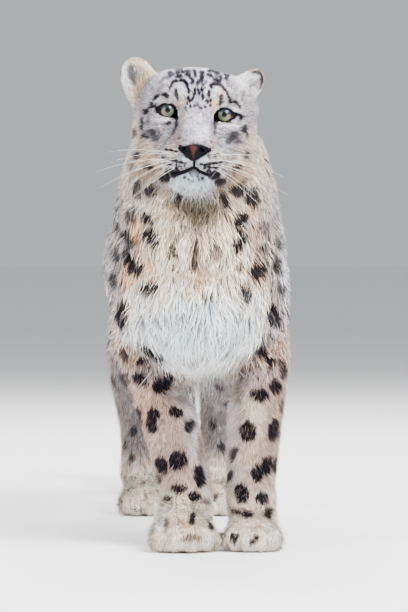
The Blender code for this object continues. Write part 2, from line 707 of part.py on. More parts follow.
def inside(tree, point):
    """Whether the point lies inside a closed surface, by counting crossings along a slanted ray."""
    way = Vector((0.137, 0.311, 0.941)).normalized()
    start, hits = Vector(point), 0
    while hits < 64:
        place, _, _, _ = tree.ray_cast(start, way)
        if place is None:
            break
        hits += 1
        start = place + way * 1e-6
    return hits % 2 == 1


def almond(width, height, points=10):
    """The outline of an eye's opening: two arcs that meet at its corners."""
    bulge = height / 2
    radius = (width * width / 4 + bulge * bulge) / (2 * bulge)
    half = math.asin(width / 2 / radius)
    found = []
    for sign in (1, -1):
        for k in range(points):
            turn = sign * half * (1 - 2 * k / points)
            found.append((radius * math.sin(-turn) * -1, sign * (radius * math.cos(turn) - radius + bulge)))
    return found


def opening_cutter(side):
    """A prism through the lids, in the head's frame."""
    bm = bmesh.new()
    turn = Matrix.Rotation(-side * OPENING_TILT, 4, "Y")
    rings = []
    for y, grow in ((-0.03, 1.25), (0.0, 1.0), (0.016, 0.96)):
        ring = []
        for x, z in almond(OPENING_WIDTH * grow, OPENING_HEIGHT * grow):
            spot = turn @ Vector((x, 0, z))
            ring.append(bm.verts.new((EYE_PLACE.x * side + spot.x, y, spot.z)))
        rings.append(ring)
    for lower, upper in zip(rings, rings[1:]):
        for k in range(len(lower)):
            n = (k + 1) % len(lower)
            bm.faces.new((lower[k], lower[n], upper[n], upper[k]))
    bm.faces.new(rings[0])
    bm.faces.new(list(reversed(rings[-1])))
    outward(bm)
    return mesh_from(bm)


def ball_mesh(place, radii, turn=None, segments=24):
    """An ellipsoid as a mesh of its own."""
    bm = bmesh.new()
    ball(bm, place, radii, turn, segments)
    return mesh_from(bm)


def front_of(tree, x, z):
    """The point of the surface met from the front at x, z."""
    place, _, _, _ = tree.ray_cast(Vector((x, -0.3, z)), Vector((0, 1, 0)))
    return place


def tube_mesh(places, radius, points=5):
    """A closed tube of one radius through the places."""
    bm = bmesh.new()
    rows = [(*p, radius, radius) for p in places]
    loft(bm, rows, points=points, step=None, tip=0.6)
    outward(bm)
    return mesh_from(bm)


def mouth_line(points):
    """The mouth's line seen from the front, from right to left, as smooth steps of x, z."""
    half = [(x, z, 0) for x, z in points]
    line = [(-x, z, w) for x, z, w in reversed(half)] + half[1:]
    return [(row[0], row[1]) for row in smooth_path(line, MOUTH_STEP)]


def mouth_places(tree):
    """Where the groove of the mouth runs on the muzzle, from its right corner to its left."""
    return [front_of(tree, x, z) for x, z in mouth_line(MOUTH[: MOUTH_CORNER + 1])]


def jaw_cutter():
    """A thin bent sheet along the mouth and down behind the chin, in the head's frame."""
    bm = bmesh.new()
    line = mouth_line(MOUTH)
    (first_x, first_z), (last_x, last_z) = line[0], line[-1]
    wide = [(first_x - 0.05, first_z + 0.004)] + line + [(last_x + 0.05, last_z + 0.004)]
    rows = []
    for x, z in wide:
        bend = bm.verts.new((x, MOUTH_BACK, z))
        front = bm.verts.new((x, -0.10, z))
        foot = bm.verts.new((x, MOUTH_BACK + 0.006, z - JAW_DROP))
        rows.append((front, bend, foot))
    for a, b in zip(rows, rows[1:]):
        for k in range(2):
            bm.faces.new((a[k], b[k], b[k + 1], a[k + 1]))
    obj = new_object("sheet", mesh_from(bm))
    thick = obj.modifiers.new("Thickness", "SOLIDIFY")
    thick.thickness = GAP
    thick.offset = 0
    made = evaluated_mesh(obj)
    bpy.data.objects.remove(obj)
    bm = bmesh.new()
    bm.from_mesh(made)
    outward(bm)
    return mesh_from(bm)


def grown(mesh, by):
    """A copy of a closed mesh, moved outward along its normals."""
    made = mesh.copy()
    obj = new_object("growing", made)
    move = obj.modifiers.new("Grow", "DISPLACE")
    move.strength = by
    move.mid_level = 0
    result = evaluated_mesh(obj)
    bpy.data.objects.remove(obj)
    return result


def nose_mesh():
    """The nose leather, in the head's frame, before its nostrils are cut."""
    bm = bmesh.new()
    for place, radii, turn in both_sides(NOSE_MASSES):
        ball(bm, place, radii, turn)
    return thinned(fused(bm, 0.0011, 4), NOSE_TRIANGLES)


def nostril_meshes():
    """The two slanted hollows of the nostrils."""
    found = []
    for side in (-1, 1):
        turn = Matrix.Rotation(side * NOSTRIL_TILT, 4, "Y")
        place = Vector((NOSTRIL_PLACE.x * side, NOSTRIL_PLACE.y, NOSTRIL_PLACE.z))
        found.append(ball_mesh(place, NOSTRIL_RADII, turn, 12))
    return found


def ear_mesh(place, turned, lean):
    """An ear's lobe with its cup, in the head's frame."""
    bm = bmesh.new()
    ball(bm, Vector((0, 0, EAR_LOBE_RISE)), EAR_LOBE)
    ball(bm, Vector((0, 0.004, -0.006)), EAR_ROOT)
    lobe = new_object("lobe", fused(bm, 0.0025, 3))
    cup = ball_mesh(Vector((0, -EAR_CUP_FORWARD, EAR_LOBE_RISE - 0.002)), EAR_CUP)
    boolean(lobe, [cup], "DIFFERENCE")
    bm = bmesh.new()
    bm.from_mesh(lobe.data)
    bpy.data.objects.remove(lobe)
    mesh = thinned(fused(bm, 0.0018, 3), EAR_TRIANGLES)
    stand = Matrix.Rotation(lean, 4, "Y") @ Matrix.Rotation(turned, 4, "Z")
    mesh.transform(Matrix.Translation(place) @ stand)
    return mesh


def floor_cutter():
    """A block below the floor, which leaves the soles flat."""
    bm = bmesh.new()
    block = Matrix.Translation((0, 0.5, -0.05)) @ Matrix.Diagonal((1.0, 3.0, 0.1, 1))
    bmesh.ops.create_cube(bm, size=1, matrix=block)
    return mesh_from(bm)


def joined(mesh, others, operation):
    """The mesh with the others joined to it or cut from it: the largest closed surface that results."""
    obj = new_object("joining", mesh.copy())
    boolean(obj, [other.copy() for other in others], operation)
    largest = max(pieces_of(obj.data), key=lambda piece: piece.calc_volume())
    bpy.data.objects.remove(obj)
    return mesh_from(largest)


def faults_of(mesh):
    """Points where the surface would no longer be one closed body once its slivers are gone."""
    bm = bmesh.new()
    bm.from_mesh(mesh)
    bmesh.ops.triangulate(bm, faces=bm.faces)
    bmesh.ops.remove_doubles(bm, verts=bm.verts, dist=SLIVER)
    found = [edge.verts[0].co.copy() for edge in bm.edges if len(edge.link_faces) != 2]
    pieces = sorted(pieces_of(mesh_from(bm)), key=lambda piece: piece.calc_volume())
    for piece in pieces[:-1]:
        found.append(next(iter(piece.verts)).co.copy())
    return found


def with_locks(mesh, locks):
    """The mesh with its locks joined on, less any lock beside which a sliver would open it."""
    made = joined(mesh, locks, "UNION")
    for _ in range(len(locks)):
        worst = None
        for fault in faults_of(made):
            near = [tree_of(lock).find_nearest(fault)[3] for lock in locks]
            if min(near) < LOCK_FAULT_REACH:
                worst = near.index(min(near))
                break
        if worst is None:
            break
        locks = locks[:worst] + locks[worst + 1:]
        made = joined(mesh, locks, "UNION")
    return made


def named_nodes(mesh, points):
    """The mesh's loose parts by name: each part that holds a node's point."""
    found = {}
    for piece in pieces_of(mesh):
        tree = BVHTree.FromBMesh(piece)
        held = [name for name, point in points if inside(tree, point)]
        if len(held) > 1:
            raise ValueError(f"no cut parts {held}")
        if held:
            found[held[0]] = mesh_from(piece, held[0])
    missing = [name for name, _ in points if name not in found]
    if missing:
        raise ValueError(f"no part holds the point of {missing}")
    return found


def build():
    """Makes every node, each a named object."""
    to_animal = head_matrix()
    to_head = to_animal.inverted()
    paws = [paw_mesh(middle, size) for _, middle, size in PAWS]
    body, head = body_mesh(), head_mesh()
    cores = (core_of(body, Matrix(), VOXEL_BODY), core_of(head, to_animal, VOXEL_FINE))
    forms = []
    for of_body, of_head in ((body, head), cores):
        form = new_object("whole", thinned(of_body, BODY_TRIANGLES))
        of_head = thinned(of_head, HEAD_TRIANGLES)
        of_head.transform(to_animal)
        boolean(form, [of_head, *(paw.copy() for paw in paws)], "UNION")
        forms.append(form)
    whole = forms[0].data.copy()
    bpy.data.objects.remove(forms[0])
    animal = forms[1]

    seen = whole.copy()
    seen.transform(to_head)
    tree = tree_of(seen)

    nose = nose_mesh()
    in_head = [opening_cutter(side) for side in (-1, 1)]
    for side in (-1, 1):
        socket = Vector((EYE_PLACE.x * side, EYE_PLACE.y, EYE_PLACE.z))
        in_head.append(ball_mesh(socket, [EYE_RADIUS + GAP] * 3, segments=16))
    in_head.append(grown(nose, GAP))
    in_head.append(jaw_cutter())
    grooves = [tube_mesh(mouth_places(tree), MOUTH_GROOVE)]
    grooves.append(tube_mesh([front_of(tree, 0, z) for z in PHILTRUM], PHILTRUM_GROOVE))
    for mesh in in_head + grooves:
        mesh.transform(to_animal)
    cuts = [cutter_box(middle, facing, halves) for _, middle, facing, halves in CUTS]
    boolean(animal, in_head + cuts + tail_cutters() + [floor_cutter()], "DIFFERENCE")

    points = list(NODE_POINTS) + tail_points()
    points.append(("jaw", to_animal @ Vector((0, -0.022, -0.100))))
    nodes = named_nodes(animal.data, points)
    bpy.data.objects.remove(animal)
    for name in ("head", "jaw"):
        nodes[name] = joined(nodes[name], [groove.copy() for groove in grooves], "DIFFERENCE")

    for name, place, turned, lean in EARS:
        mesh = ear_mesh(place, turned, lean)
        mesh.transform(to_animal)
        ear = new_object(name, mesh)
        boolean(ear, [grown(whole, EAR_GAP)], "DIFFERENCE")
        largest = max(pieces_of(ear.data), key=lambda piece: piece.calc_volume())
        nodes[name] = mesh_from(largest, name)
        bpy.data.objects.remove(ear)

    snout = new_object("nose", nose)
    boolean(snout, nostril_meshes(), "DIFFERENCE")
    nodes["nose"] = snout.data
    nodes["nose"].transform(to_animal)
    bpy.data.objects.remove(snout)

    for name, side in (("eye_right", -1), ("eye_left", 1)):
        place = to_animal @ Vector((EYE_PLACE.x * side, EYE_PLACE.y, EYE_PLACE.z))
        nodes[name] = ball_mesh(place, [EYE_RADIUS] * 3, segments=16)

    for name, locks in grown_locks(nodes, tree_of(whole)).items():
        nodes[name] = with_locks(nodes[name], locks)

    collection = bpy.data.collections.new("snow_leopard")
    bpy.context.scene.collection.children.link(collection)
    finishes = {
        "coat": material("coat", COAT),
        "pale_coat": material("pale_coat", PALE_COAT),
        "eye": material("eye", EYE_COLOUR),
        "nose": material("nose", NOSE_COLOUR),
    }
    low = Vector([min(v.co[k] for m in nodes.values() for v in m.vertices) for k in range(3)])
    high = Vector([max(v.co[k] for m in nodes.values() for v in m.vertices) for k in range(3)])
    to_middle = Matrix.Translation((-(low.x + high.x) / 2, -(low.y + high.y) / 2, 0))
    for name, mesh in sorted(nodes.items()):
        kind = name.split("_")[0]
        finish = "pale_coat" if name in PALE_NODES else "coat"
        finish = kind if kind in ("eye", "nose") else finish
        mesh.materials.clear()
        mesh.materials.append(finishes[finish])
        mesh.transform(to_middle)
        new_object(name, mesh, collection)


clear_scene()
build()
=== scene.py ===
"""Dresses the packed snow leopard: one skin with its markings, a coat of joined tufts, eyes, lids,
nose, lips and whiskers, on a plain pale floor. Lengths are in metres, +Z is up, and the animal faces -Y.
"""

import math

import bmesh
import bpy
import numpy as np
from mathutils import Matrix, Vector
from mathutils.bvhtree import BVHTree
from mathutils.kdtree import KDTree


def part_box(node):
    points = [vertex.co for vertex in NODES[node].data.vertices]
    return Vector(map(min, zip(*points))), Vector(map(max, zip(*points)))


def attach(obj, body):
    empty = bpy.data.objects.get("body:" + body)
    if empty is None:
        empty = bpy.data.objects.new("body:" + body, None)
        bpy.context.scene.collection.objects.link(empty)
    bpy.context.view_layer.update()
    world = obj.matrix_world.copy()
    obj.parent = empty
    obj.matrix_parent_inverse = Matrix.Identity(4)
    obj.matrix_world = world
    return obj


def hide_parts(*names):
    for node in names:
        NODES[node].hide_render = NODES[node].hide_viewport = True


bl_info = {
    "name": "Snow leopard",
    "version": (1, 0, 0),
    "blender": (4, 5, 0),
    "location": "3D View > Sidebar > Snow leopard",
    "description": "Dresses the snow leopard with its skin, coat, eyes, nose and whiskers",
    "category": "Add Mesh",
}

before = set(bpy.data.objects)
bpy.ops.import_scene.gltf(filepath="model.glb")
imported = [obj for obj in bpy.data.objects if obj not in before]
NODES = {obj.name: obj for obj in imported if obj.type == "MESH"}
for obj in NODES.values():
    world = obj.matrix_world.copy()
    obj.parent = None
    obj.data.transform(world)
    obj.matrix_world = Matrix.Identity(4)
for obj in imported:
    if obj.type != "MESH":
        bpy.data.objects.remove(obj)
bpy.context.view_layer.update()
EYES = ("eye_left", "eye_right")
FLESH = tuple(sorted(name for name in NODES if name not in EYES and name != "nose"))


def middle_of(node):
    """The middle of a node's box."""
    low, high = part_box(node)
    return (low + high) / 2


# The head's own frame: its origin lies midway between the fronts of the eyes, +X to its left.
EYE_SET_BACK = 0.0158
EYE_RADIUS = (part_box("eye_left")[1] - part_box("eye_left")[0]).y / 2
ACROSS = (middle_of("eye_left") - middle_of("eye_right")).normalized()
BACK = Vector((0, 1, 0))
HEAD = Matrix((ACROSS, BACK, ACROSS.cross(BACK))).transposed().to_4x4()
HEAD.translation = (middle_of("eye_left") + middle_of("eye_right")) / 2 - BACK * EYE_SET_BACK
HEAD_PLACE = Vector((-0.001, -0.245, 0.643))  # the head's origin in the figure's own frame
SHIFT = HEAD.translation - HEAD_PLACE

# The photograph's camera, in the figure's own frame.
CAMERA_PLACE = Vector((0.0105, -5.0, 0.45))
CAMERA_AIM = Vector((0.0105, 0.0, 0.363))
PHOTO_WIDE, PHOTO_HIGH = 408, 612
FOCAL_PIXELS = 3333
SENSOR = 36.0

SEED = 20
SKIN_VOXEL = 0.0055
SKIN_GROW = 0.0004
PATCH = 0.003  # the side of one tuft's patch on the bake map


def linear(red, green, blue):
    """A colour given as display values from 0 to 255, as linear values."""
    found = []
    for value in (red, green, blue):
        c = value / 255
        found.append(c / 12.92 if c <= 0.04045 else ((c + 0.055) / 1.055) ** 2.4)
    return tuple(found)


def soft(values, low, high):
    """A smooth step from 0 at low to 1 at high."""
    t = np.clip((np.asarray(values, float) - low) / (high - low), 0, 1)
    return t * t * (3 - 2 * t)


def mixed(first, second, share):
    """first turned into second by a share, for numbers or for rows of them."""
    share = np.asarray(share, float)
    if np.ndim(first) == 2:
        share = share[:, None]
    return first * (1 - share) + np.asarray(second) * share


def ripple(points, size, seed, count=7):
    """A smooth random field over the points, about -1 to 1, whose waves are about a size long."""
    draw = np.random.default_rng(seed)
    ways = draw.normal(size=(count, 3))
    ways /= np.linalg.norm(ways, axis=1)[:, None]
    ways *= draw.uniform(0.6, 1.6, (count, 1)) * 2 * math.pi / size
    turns = draw.uniform(0, 2 * math.pi, count)
    return np.sin(points @ ways.T + turns).sum(axis=1) / math.sqrt(count)


def unit(rows):
    """Rows scaled to length 1."""
    return rows / np.maximum(np.linalg.norm(rows, axis=1)[:, None], 1e-9)


def seen(points):
    """Where the photograph's camera sees the points, in its pixels, across and down."""
    eye = np.array(CAMERA_PLACE + SHIFT)
    ahead = (CAMERA_AIM - CAMERA_PLACE).normalized()
    up = Vector((1, 0, 0)).cross(ahead)
    away = points - eye
    depth = away @ np.array(ahead)
    across = PHOTO_WIDE / 2 + FOCAL_PIXELS * away[:, 0] / depth
    down = PHOTO_HIGH / 2 - FOCAL_PIXELS * (away @ np.array(up)) / depth
    return across, down


def from_photo(across, down, y):
    """The point at a depth y in the figure's own frame that the camera sees at a pixel."""
    ahead = (CAMERA_AIM - CAMERA_PLACE).normalized()
    up = Vector((1, 0, 0)).cross(ahead)
    ray = ahead + Vector((1, 0, 0)) * ((across - PHOTO_WIDE / 2) / FOCAL_PIXELS)
    ray += up * ((PHOTO_HIGH / 2 - down) / FOCAL_PIXELS)
    eye = CAMERA_PLACE + SHIFT
    return eye + ray * ((y + SHIFT.y - eye.y) / ray.y)


# ---- the skin's zones ----
# Each kind of node: hair length, half width of a tuft, how high its tip stands, depth of the coat.
ZONES = {
    "head": (0.012, 0.0008, 0.0055, 0.0045),
    "jaw": (0.013, 0.0008, 0.0045, 0.0030),
    "ear": (0.009, 0.0006, 0.0024, 0.0032),
    "neck": (0.024, 0.0010, 0.0105, 0.0090),
    "chest": (0.025, 0.0013, 0.0105, 0.0095),
    "belly": (0.032, 0.0016, 0.0120, 0.0105),
    "hips": (0.030, 0.0015, 0.0115, 0.0105),
    "hindleg": (0.020, 0.0010, 0.0080, 0.0070),
    "hock": (0.016, 0.0009, 0.0060, 0.0050),
    "hindpaw": (0.015, 0.0008, 0.0080, 0.0046),
    "foreleg": (0.012, 0.0008, 0.0058, 0.0056),
    "forepaw": (0.015, 0.0008, 0.0080, 0.0046),
    "tail": (0.040, 0.0015, 0.0130, 0.0060),
}
# The coat's colours, as linear values; the olive tone is painted shade.
TONES = {
    "back": (0.225, 0.205, 0.212),
    "flank": (0.360, 0.310, 0.312),
    "leg": (0.530, 0.340, 0.280),
    "paw": (0.960, 0.740, 0.600),
    "white": (0.950, 0.960, 1.000),
    "bridge": (0.500, 0.470, 0.590),
    "face": (0.340, 0.310, 0.330),
    "cream": (0.920, 0.720, 0.540),
    "tan": (0.900, 0.490, 0.245),
    "ochre": (0.240, 0.166, 0.102),
    # painted shade: a dark olive for fur that lies in shadow
    "olive_shade": (0.115, 0.088, 0.056),
    "grey": (0.085, 0.074, 0.084),
    "dark": (0.008, 0.006, 0.010),
    "fill": (0.190, 0.165, 0.165),
    "pink": (0.520, 0.250, 0.200),
    "snow": (0.700, 0.900, 1.000),
    "mist": (0.420, 0.430, 0.540),
}
# The bib's half width and middle at heights in the figure's own frame.
BIB_HEIGHTS = (0.225, 0.250, 0.280, 0.310, 0.345, 0.400, 0.460, 0.520, 0.560)
BIB_HALVES = (0.010, 0.022, 0.042, 0.072, 0.096, 0.092, 0.070, 0.044, 0.034)
BIB_MIDDLES = (0.012, 0.010, 0.006, 0.002, 0.000, -0.001, -0.002, -0.002, -0.002)


# The bib's lower edge in the photograph's pixels, across and down.
BIB_EDGE = (
    (116, 128, 143, 160, 175, 190, 205, 215, 228, 245, 262, 278),
    (318, 328, 343, 353, 367, 386, 404, 393, 373, 353, 339, 324),
)


def kind_of(node):
    """The zone that a node's name belongs to."""
    return node.split("_")[0]


class Skin:
    """The skin as arrays: its points, faces and what the coat does at each point."""

    def __init__(self, mesh, kinds):
        self.mesh = mesh
        self.kinds = kinds
        self.read()
        edges = np.empty(len(mesh.edges) * 2, int)
        mesh.edges.foreach_get("vertices", edges)
        edges = edges.reshape(-1, 2)
        self.ends = np.concatenate([edges[:, 0], edges[:, 1]])
        self.others = np.concatenate([edges[:, 1], edges[:, 0]])
        self.degree = np.bincount(self.ends, minlength=len(self.points))

    def read(self):
        """Takes the points and normals from the mesh."""
        count = len(self.mesh.vertices)
        self.points = np.empty(count * 3)
        self.mesh.vertices.foreach_get("co", self.points)
        self.points = self.points.reshape(-1, 3)
        self.normals = np.empty(count * 3)
        self.mesh.vertex_normals.foreach_get("vector", self.normals)
        self.normals = self.normals.reshape(-1, 3)

    def write(self, points):
        """Puts new points into the mesh."""
        self.mesh.vertices.foreach_set("co", points.ravel())
        self.mesh.update()
        self.read()

    def around(self, values):
        """Each point's mean over its neighbours."""
        if values.ndim == 1:
            return np.bincount(self.ends, values[self.others], len(values)) / self.degree
        return np.stack([self.around(column) for column in values.T], axis=1)

    def spread(self, values, rounds):
        """The values smoothed along the skin."""
        for _ in range(rounds):
            values = values * 0.5 + self.around(values) * 0.5
        return values

    def figure(self):
        """The points in the figure's own frame."""
        return self.points - np.array(SHIFT)

    def head(self):
        """The points in the head's own frame."""
        back = np.array(HEAD.inverted())
        return self.points @ back[:3, :3].T + back[:3, 3]


def object_of(name, mesh):
    """Links a mesh to the scene as an object."""
    obj = bpy.data.objects.new(name, mesh)
    bpy.context.scene.collection.objects.link(obj)
    return obj


def evaluated(obj):
    """A new mesh of the object with its modifiers applied."""
    graph = bpy.context.evaluated_depsgraph_get()
    return bpy.data.meshes.new_from_object(obj.evaluated_get(graph))


def merged_copy(names):
    """One bmesh of copies of the nodes, merged and grown a little so that they meet, and each face's node."""
    joined = bmesh.new()
    owners = []
    for name in names:
        part = bmesh.new()
        part.from_mesh(NODES[name].data)
        bmesh.ops.remove_doubles(part, verts=part.verts, dist=1e-5)
        part.normal_update()
        moves = [(v, v.co + v.normal * SKIN_GROW) for v in part.verts]
        for v, place in moves:
            v.co = place
        mesh = bpy.data.meshes.new("part")
        part.to_mesh(mesh)
        part.free()
        joined.from_mesh(mesh)
        owners += [name] * (len(joined.faces) - len(owners))
        bpy.data.meshes.remove(mesh)
    return joined, owners


def nearest_kinds(points, joined, owners):
    """For each point, the name of the node that lies nearest."""
    tree = BVHTree.FromBMesh(joined)
    return np.array([owners[tree.find_nearest(Vector(p))[2]] for p in points])


# Eyelids, from the middle of the iris: turn in degrees from the outer side upward, reach of the
# opening and reach of the black rim, in millimetres. The outer side is the one away from the nose.
LID_REACHES = (
    (-30, 11.6, 13.0), (-12, 13.6, 17.0), (0, 14.0, 18.6), (12, 13.4, 19.2), (25, 12.0, 14.6),
    (50, 9.2, 12.2), (90, 7.7, 10.8), (125, 8.3, 11.7), (155, 10.4, 13.8), (180, 12.6, 15.8),
    (205, 14.6, 18.4), (214, 15.6, 20.0), (226, 13.4, 17.2), (245, 10.8, 12.6), (270, 9.8, 11.3),
    (300, 10.0, 11.5),
)


def lid_reach(turn, column):
    """The reach of the opening (column 1) or of the rim (column 2) at a turn in degrees, in metres."""
    turns = [row[0] % 360 for row in LID_REACHES]
    order = np.argsort(turns)
    xs = np.array(turns)[order]
    ys = np.array([row[column] for row in LID_REACHES])[order]
    return np.interp(np.asarray(turn) % 360, xs, ys, period=360) / 1000


def eye_turns(head_points, side):
    """Turn in degrees and reach of points about an eye's middle, seen from the front."""
    x = (head_points[:, 0] - side * EYE_X) * side
    z = head_points[:, 2]
    return np.degrees(np.arctan2(z, x)), np.hypot(x, z)


EYE_X = (middle_of("eye_left") - middle_of("eye_right")).length / 2
SOCKET_DEPTH = 0.012


def shape_skin(skin):
    """Smooths the skin, sinks it by the coat's depth and hollows the eyes and the nose."""
    figure, head = skin.figure(), skin.head()
    kinds = skin.kinds
    base = np.array([ZONES[kind] for kind in kinds])
    shaggy = shaggy_places(skin)
    points = skin.points.copy()
    for _ in range(8):
        points += 0.5 * (skin.around(points) - points)
        points -= 0.52 * (skin.around(points) - points)
    for _ in range(45):
        points += (0.6 * shaggy)[:, None] * (skin.around(points) - points)
    skin.write(points)
    head = skin.head()
    face = face_places(skin)
    depth = base[:, 3]
    depth = mixed(depth, 0.0016, face * (np.isin(kinds, ("head", "jaw"))))
    depth = mixed(depth, 0.0015, shaggy)
    hx = np.abs(head[:, 0])
    depth = mixed(depth, 0.0020, (kinds == "head") * soft(hx, 0.045, 0.065) * (head[:, 1] < 0.07))
    depth *= 1 - soft(-skin.normals[:, 2], 0.75, 0.95) * (skin.figure()[:, 2] < 0.03)
    depth = skin.spread(depth, 12)
    skin.depth = depth
    points = skin.points - skin.normals * depth[:, None]
    for _ in range(3):
        points += 0.5 * (skin.around(points) - points)
        points -= 0.52 * (skin.around(points) - points)
    skin.write(points)
    head = skin.head()
    push = np.zeros(len(head))
    for side in (-1, 1):
        turn, reach = eye_turns(head, side)
        rim = lid_reach(turn, 1) * 0.4 + lid_reach(turn, 2) * 0.6
        front = (head[:, 1] < 0.03) & (skin.normals[:, 1] < 0.2)
        push = np.maximum(push, np.where(front & (reach < rim), SOCKET_DEPTH, 0))
    across, down = seen(skin.points)
    nose = np.hypot((across - 195) / 1.75, (down - 151.6)) < 7.8
    push = np.maximum(push, np.where(nose & (head[:, 1] < 0) & (head[:, 2] < -0.03), 0.007, 0))
    points = skin.points.copy()
    points[:, 1] += push
    points[:, 2] = np.maximum(points[:, 2], 0.0004)
    skin.write(points)
    smooth = skin.points
    for _ in range(10):
        smooth = smooth + 0.5 * (skin.around(smooth) - smooth)
    skin.hollow = ((smooth - skin.points) * skin.normals).sum(axis=1)


def face_places(skin):
    """How far each point belongs to the short-haired front of the head, 0 to 1."""
    x, y, z = skin.head().T
    near = 1 - soft(y - 0.25 * np.clip(z, 0, 1), 0.030, 0.070)
    side = 1 - soft(np.abs(x) + 0.35 * np.clip(-z - 0.03, 0, 1), 0.056, 0.078)
    chin = 1 - soft(-z, 0.090, 0.104)
    return near * side * chin


def bib_places(skin):
    """How far each point belongs to the long white bib, 0 to 1."""
    x, y, z = skin.figure().T
    half = np.interp(z, BIB_HEIGHTS, BIB_HALVES)
    across = np.abs(x - np.interp(z, BIB_HEIGHTS, BIB_MIDDLES)) / half
    front = soft(-skin.normals[:, 1], -0.15, 0.35) * (y < 0.12)
    band = soft(z, 0.215, 0.250) * (1 - soft(z, 0.545, 0.590))
    column, row = seen(skin.points)
    above = soft(np.interp(column, *BIB_EDGE) - row, -5, 3)
    own = np.isin(skin.kinds, ("neck", "chest"))
    return (1 - soft(across, 0.75, 1.25)) * front * band * above * own


def shaggy_places(skin):
    """How far each point lies where the solids carry locks, 0 to 1."""
    figure, head = skin.figure(), skin.head()
    kinds = skin.kinds
    x, y, z = figure.T
    found = bib_places(skin)
    under = (y > -0.05) & (y < 0.5) & (z < 0.31) & np.isin(kinds, ("chest", "belly"))
    found = np.maximum(found, under * 1.0)
    hx, hy, hz = head.T
    ruff = soft(np.abs(hx), 0.060, 0.080) * soft(-hz, 0.0, 0.03) * (kinds == "head")
    throat = soft(-hz, 0.085, 0.105) * (kinds == "head")
    found = np.maximum(found, np.maximum(ruff, throat))
    found = np.maximum(found, (kinds == "tail") * soft(y, 0.78, 0.86))
    found = np.maximum(found, (kinds == "hips") * soft(y, 0.66, 0.72) * (z < 0.46))
    elbow = (kinds == "foreleg") * soft(y, 0.05, 0.08)
    found = np.maximum(found, elbow)
    return skin.spread(np.clip(found, 0, 1), 8)


def dress_skin(skin):
    """Sets hair length, tuft width, tip height, droop and lie at each point of the skin."""
    kinds = skin.kinds
    x, y, z = skin.figure().T
    hx, hy, hz = skin.head().T
    nx, ny, nz = skin.normals.T
    base = np.array([ZONES[kind] for kind in kinds])
    length, width, height = base[:, 0], base[:, 1], base[:, 2]
    on_head = np.isin(kinds, ("head", "jaw"))
    face, bib = face_places(skin) * on_head, bib_places(skin)
    skin.face, skin.bib = face, bib

    muzzle = face * (1 - soft(np.hypot(hx, (hz + 0.055)), 0.030, 0.050))
    length = mixed(length, 0.0064, face)
    length = mixed(length, 0.0048, muzzle)
    height = mixed(height, 0.0028, face)
    height = mixed(height, 0.0021, muzzle)
    width = mixed(width, 0.00050, face)
    brow = on_head * soft(hz, 0.012, 0.030) * (1 - soft(hy, 0.07, 0.11))
    skin.brow = brow
    length = mixed(length, 0.0064, brow)
    width = mixed(width, 0.00055, brow)

    cheek = on_head * soft(np.abs(hx), 0.048, 0.075) * soft(-hz, -0.01, 0.03)
    jowl = cheek * soft(-hz, 0.035, 0.060)
    length = mixed(length, 0.012, cheek)
    length = mixed(length, 0.023, jowl)
    height = mixed(height, 0.0065, cheek)
    height = mixed(height, 0.0115, jowl)
    width = mixed(width, 0.0008, cheek)
    chin = on_head * soft(-hz, 0.080, 0.098) * (hy < 0.03) * (np.abs(hx) < 0.040)
    length = mixed(length, 0.0105, chin)
    height = mixed(height, 0.0060, chin)
    throat = (kinds == "head") * soft(-hz, 0.085, 0.105) * soft(hy, 0.0, 0.03)
    length = mixed(length, 0.038, throat)
    height = mixed(height, 0.014, throat)
    width = mixed(width, 0.0012, throat)

    arm = (kinds == "chest") * soft(np.abs(x), 0.04, 0.07) * (1 - soft(z, 0.31, 0.36)) * (y < 0.12)
    length = mixed(length, 0.017, arm)
    height = mixed(height, 0.0070, arm)
    width = mixed(width, 0.0009, arm)
    length = mixed(length, 0.046, bib)
    length = mixed(length, 0.029, bib * soft(z, 0.36, 0.42))
    column, row = seen(skin.points)
    ahead = np.isin(kinds, ("neck", "chest")) & (y < 0.12) & (ny < 0.1) & (z < 0.45)
    left_over = (np.interp(column, *BIB_EDGE) - row) * 0.00145
    spare = np.where(ahead & (left_over > -0.006), np.maximum(left_over, 0) * 0.9 + 0.012, 1)
    length = np.minimum(length, spare)
    height = mixed(height, 0.0190, bib)
    height = mixed(height, 0.0130, bib * soft(z, 0.37, 0.43))
    width = mixed(width, 0.0010, bib)
    under = np.isin(kinds, ("chest", "belly", "hips")) * soft(-nz, 0.35, 0.75) * (z < 0.36)
    length = mixed(length, 0.048, under)
    height = mixed(height, 0.018, under)
    elbow = (kinds == "foreleg") * soft(ny, 0.1, 0.6) * soft(z, 0.15, 0.22)
    length = mixed(length, 0.032, elbow)
    height = mixed(height, 0.012, elbow)
    seat = np.isin(kinds, ("hips", "hindleg")) * soft(ny, 0.2, 0.7) * (z < 0.45)
    length = mixed(length, 0.042, seat)
    height = mixed(height, 0.016, seat)
    cup = (kinds == "ear") * soft(-ny, 0.1, 0.5)
    length = mixed(length, 0.015, cup)
    tail = (kinds == "tail") * soft(y, 0.78, 0.88)
    height = mixed(height, 0.0160, tail)
    length = mixed(length, 0.046, tail)

    room = room_on_face(skin)
    length = np.minimum(length, 0.0030 + 0.9 * room)
    height = np.minimum(height, 0.0009 + 0.4 * room)

    lie = lie_of(skin, face, bib, cheek)
    lie = skin.spread(lie, 14)
    lie -= skin.normals * (lie * skin.normals).sum(axis=1)[:, None]
    skin.lie = unit(lie)
    rounds = 8
    skin.length = skin.spread(length, rounds)
    skin.width = skin.spread(width, rounds)
    skin.height = skin.spread(height, rounds)
    droop = np.maximum(under * 0.35, np.maximum(bib * 0.10, tail * 0.12))
    skin.droop = skin.spread(np.maximum(droop, seat * 0.15), rounds)


